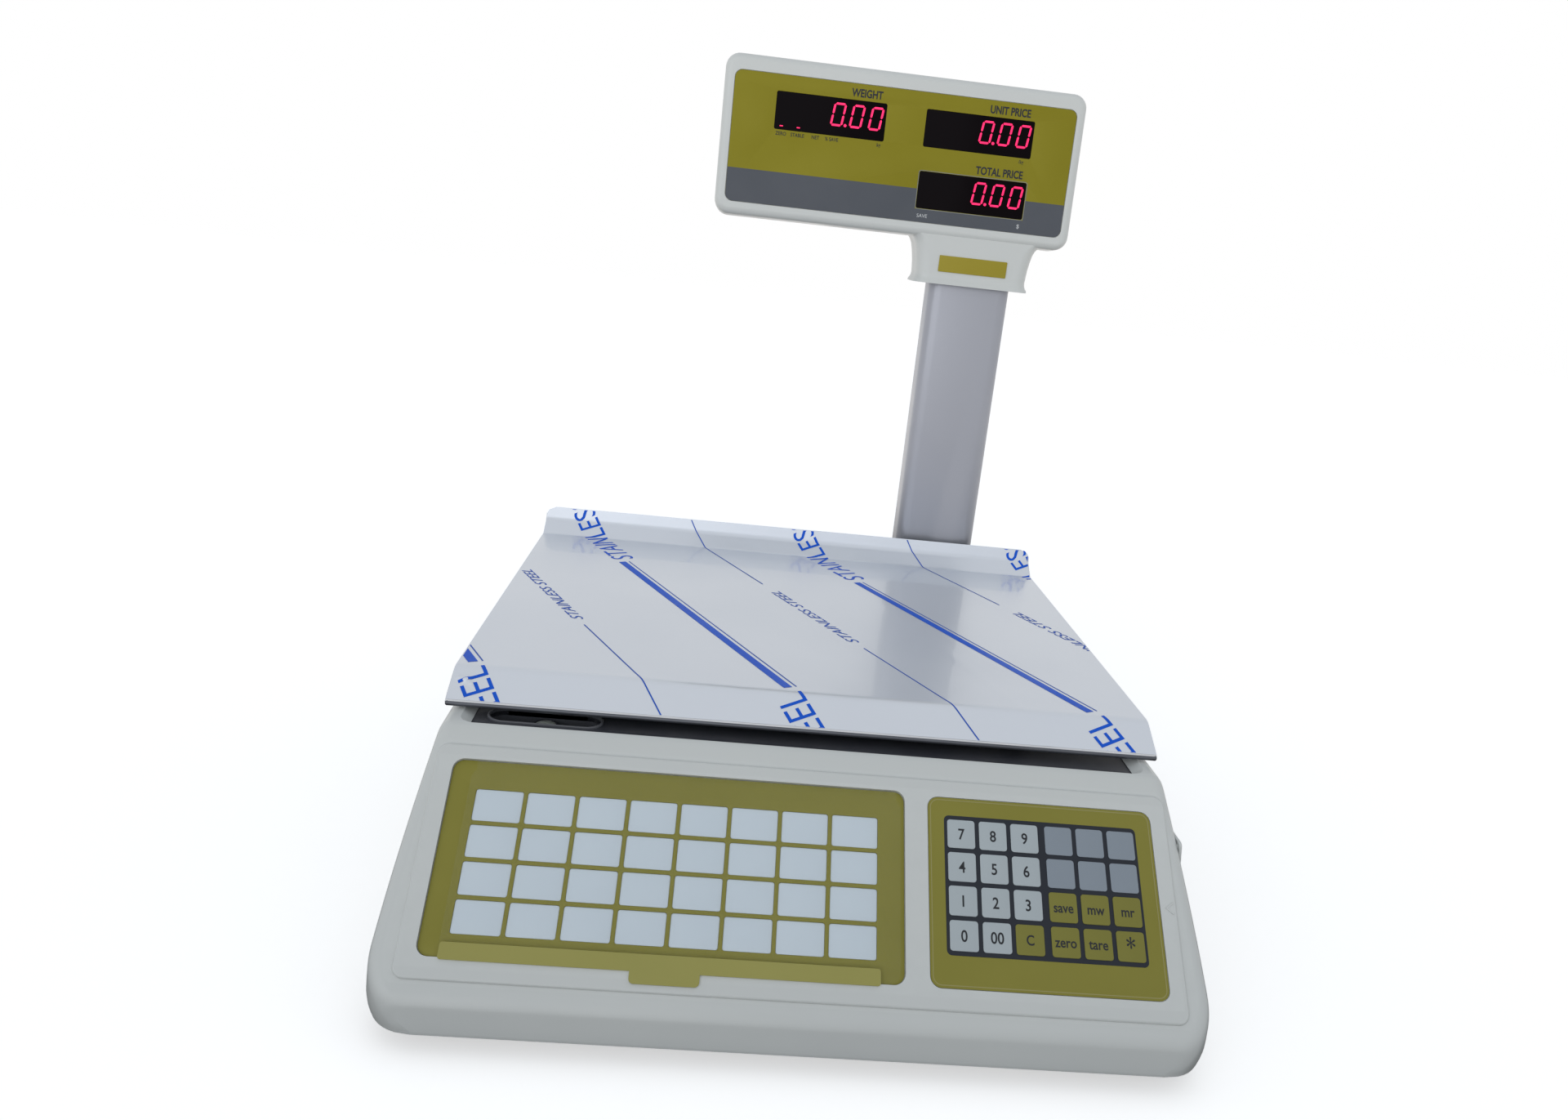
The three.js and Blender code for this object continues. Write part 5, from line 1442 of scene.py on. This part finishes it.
def addDisplayFace(side, turned):
    face = faceFrame(turned)
    shape = labelShape
    thick = shape["thickness"]
    openings = [windowOutline(spot, 0) for spot in windows.values()]
    label = plate(side + "Label", [labelOutline(0.3)] + openings, -thick, -0.15, face, 0.08)
    settle(smooth(label, 40), "base", "gold_print", finishes["labelGold"], side + "_display_label")
    u, v = shape["x"], shape["z"]
    low = v - shape["height"] / 2 + 0.3
    line = v - shape["height"] / 2 + 0.26 * shape["height"]
    right, left = u + shape["width"] / 2 - 0.35, u - shape["width"] / 2 + 0.35
    total = windows["total_price"]
    # the band is notched where the lowest window comes down into it
    w0 = u + total[0] - windowSize[0] / 2 - 0.5
    w1 = u + total[0] + windowSize[0] / 2 + 0.5
    wz = v + total[1] - windowSize[1] / 2 - 0.5
    outline = [(left, line), (w0, line), (w0, wz), (w1, wz), (w1, line), (right, line)] + \
        [p for p in labelBottom(low, left, right)]
    slate = plate(side + "SlateBand", [outline], -0.16, -0.1, face)
    settle(slate, "base", "label_print", finishes["slate"])
    for value, spot in windows.items():
        pane = plate(side + "Window" + value.title().replace("_", ""), [windowOutline(spot, -0.05)], -0.75, -0.32, face,
                     0.05)
        settle(smooth(pane, 40), "base", "smoked_acrylic", finishes["smoked"])
        addDigits(side + "Digits" + value.title().replace("_", ""), spot, face, value == "weight")
    outlines = [windowOutline(windows["total_price"], grow, corner) for grow, corner in ((0.55, 1.7), (0.2, 1.4))]
    rings = [plate("ring", outlines, -0.1, -0.06, face)]
    settle(joined(side + "WindowLine", rings), "base", "label_print", finishes["paleLine"])
    headings = []
    for value, words in (("weight", "WEIGHT"), ("unit_price", "UNIT PRICE"), ("total_price", "TOTAL PRICE")):
        spot = windows[value]
        at = (u + spot[0] + windowSize[0] / 2 - 3.5, v + spot[1] + windowSize[1] / 2 + 2.1, -0.12)
        headings.append(lettering("heading", words, 4.7, at, face, "RIGHT", 0.03, 0.0, 0.2, 0.76))
    marks = [("weight", -34, "ZERO"), ("weight", -24.4, "STABLE"), ("weight", -11, "NET"), ("weight", -2.2, "% SAVE"),
             ("weight", 33.5, "kg"), ("unit_price", 31, "/kg")]
    for value, shift, words in marks:
        spot = windows[value]
        at = (u + spot[0] + shift, v + spot[1] - windowSize[1] / 2 - 3.4, -0.12)
        align = "RIGHT" if shift > 0 else "LEFT"
        headings.append(lettering("mark", words, 2.2, at, face, align, 0.03, 0.0, 0.04, 0.85))
    settle(joined(side + "Headings", headings), "base", "label_print", finishes["legend"])
    spot = windows["total_price"]
    low = v + spot[1] - windowSize[1] / 2 - 5.6
    pale = [lettering("mark", "SAVE", 2.2, (u + spot[0] - 34, low, -0.06), face, "LEFT", 0.03),
            lettering("mark", "$", 2.6, (u + spot[0] + 34, low, -0.06), face, "RIGHT", 0.03)]
    settle(joined(side + "PaleMarks", pale), "base", "label_print", finishes["paleLegend"])


def labelBottom(low, left, right):
    # the rounded lower corners of the label, from right to left
    corner = labelShape["corner"] - 0.35
    points = []
    for step in range(8):
        angle = math.radians(-90 * step / 7)
        points.append((right - corner + corner * math.cos(angle), low + corner + corner * math.sin(angle)))
    for step in range(8):
        angle = math.radians(-90 - 90 * step / 7)
        points.append((left + corner + corner * math.cos(angle), low + corner + corner * math.sin(angle)))
    return points


def addNeckPlate():
    x, z, width, height, thick = neckShape["plate"]
    face = (layout @ Matrix.Translation((x, columnPlace["y"] - neckShape["depth"] / 2, z)) @ turnedAbout("X", 90))
    badge = plate("neckPlate", [roundedRect(-width / 2, width / 2, -height / 2, height / 2, 0.6, 4)], -0.3, thick, face,
                  0.15)
    settle(smooth(badge, 40), "base", "gold_print", finishes["badgeGold"], "neck_plate")


for side, turned in (("front", False), ("rear", True)):
    addHeadShell(side, turned)
    addDisplayFace(side, turned)
addNeckPlate()
print("stage: display head")

# ---- power switch, mains inlet, feet
switchShape = {"rimReach": 1.6, "mouth": 1.4}


def addSwitch():
    place = switchFrame()
    half, tall = switchPlace["width"] / 2, switchPlace["height"] / 2
    grow, mouth = switchShape["rimReach"], switchShape["mouth"]
    opening = roundedRect(-half + mouth, half - mouth, -tall + mouth, tall - mouth, 0.8)
    rim = plate("rim", [roundedRect(-half - grow, half + grow, -tall - grow, tall + grow, 2), opening], 0.3, 1.6,
                place, 0.35)
    sleeve = plate("sleeve", [roundedRect(-half + 0.3, half - 0.3, -tall + 0.3, tall - 0.3, 0.6), opening], -16, 0.5,
                   place)
    back = plate("back", [roundedRect(-half + 0.4, half - 0.4, -tall + 0.4, tall - 0.4, 0.6)], -16, -8, place)
    settle(smooth(joined("switchFrame", [rim, sleeve, back]), 40), "base", "switch_plastic", finishes["housing"],
           "switch_frame")
    reach = tall - 2.4
    wide = half - 1.8
    side = [(-3, -3.5), (-reach, 0.9)] + curvedThrough((-reach, 0.9), (0, 0.4), (reach, 2.6), 8) + [(3, -3.5)]
    rings = [[(u, v, n) for v, n in side] for u in (-wide, -wide + 0.3, wide - 0.3, wide)]
    rocker = smooth(loft("switchRocker", rings, place), 35, 0.3)
    settle(rocker, "power_rocker", "switch_plastic", finishes["switch"], "switch_rocker")
    ring = plate("offMark", [circle(0, 4.2, 1.5, 24), circle(0, 4.2, 1.15, 24)], 1.9, 2.05, place)
    bar = block("onMark", (-0.2, -5.6, 0.85), (0.2, -3.0, 0.95), place)
    settle(joined("switchMarks", [ring, bar]), "power_rocker", "switch_plastic", finishes["paleLegend"])


def addInlet():
    spot = inletPlace
    face = (layout @ Matrix.Translation((spot["x"], bodyShape["depth"], spot["z"])) @ turnedAbout("Z", 180)
            @ turnedAbout("X", 90))
    well = [(-12, -7.5), (12, -7.5), (12, 3.8), (8.6, 7.5), (-8.6, 7.5), (-12, 3.8)]
    ears = [circle(side * 17, 0, 1.6, 20) for side in (-1, 1)]
    rim = plate("rim", [roundedRect(-20, 20, -12, 12, 3), well] + ears, 0.3, 2.3, face, 0.35)
    half, tall = spot["width"] / 2, spot["height"] / 2
    outside = roundedRect(-half + 0.2, half - 0.2, -tall + 0.2, tall - 0.2, 1.5)
    sleeve = plate("sleeve", [outside, well], -15, 0.6, face)
    back = plate("back", [outside], -spot["depth"], -15, face)
    settle(smooth(joined("mainsInlet", [rim, sleeve, back]), 40), "base", "black_abs", finishes["black"], "power_inlet")
    pins = [block("pin", (u - 1, v - 2, -15.5), (u + 1, v + 2, -3), face, 0.3)
            for u, v in ((-7, -2), (7, -2), (0, 2.2))]
    settle(smooth(joined("inletPins", pins), 40), "base", "zinc_steel", finishes["zinc"])
    for side in (-1, 1):
        addScrew("inletScrew" + ("Left" if side < 0 else "Right"),
                 (spot["x"] + side * 17, bodyShape["depth"] + 2.3, spot["z"]), 2.6, turnedAbout("X", -90))


footShape = {"radius": 16, "height": 8.6, "stud": 4, "studTop": 27, "turns": 14}


def addFeet():
    radius, height, stud = footShape["radius"], footShape["height"], footShape["stud"]
    for name in ("front_left", "front_right", "back_left", "back_right"):
        low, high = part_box("foot_pad_" + name)
        spot = Matrix.Translation(((low.x + high.x) / 2, (low.y + high.y) / 2, 0)) @ Matrix.Scale(mm, 4)
        profile = [(0, 0), (5, 0), (5.4, 0.8), (9.6, 0.8), (10, 0), (radius - 2, 0), (radius - 0.6, 0.4), (radius, 1.5),
                   (radius, 4), (radius - 0.5, 4.8), (radius - 4, height - 1.5), (stud + 3.6, height),
                   (stud + 0.3, height), (stud + 0.3, 3), (0, 3)]
        pad = lathe("footPad_" + name, profile, spot)
        settle(smooth(pad, 40), "foot_" + name, "foot_rubber", finishes["rubber"], "foot_pad_" + name)
        notches = [(0, 3.3), (stud, 3.3)]
        pitch = (footShape["studTop"] - 1 - 9) / footShape["turns"]
        for turn in range(footShape["turns"]):
            z = 9 + turn * pitch
            notches += [(stud, z), (stud - 0.55, z + pitch * 0.45), (stud, z + pitch * 0.9)]
        notches += [(stud - 0.6, footShape["studTop"]), (0, footShape["studTop"])]
        thread = lathe("footStud_" + name, notches, spot, 28)
        settle(smooth(thread, 30), "foot_" + name, "zinc_steel", finishes["zinc"], "foot_stud_" + name)


addSwitch()
addInlet()
addFeet()
print("stage: switch, inlet and feet")
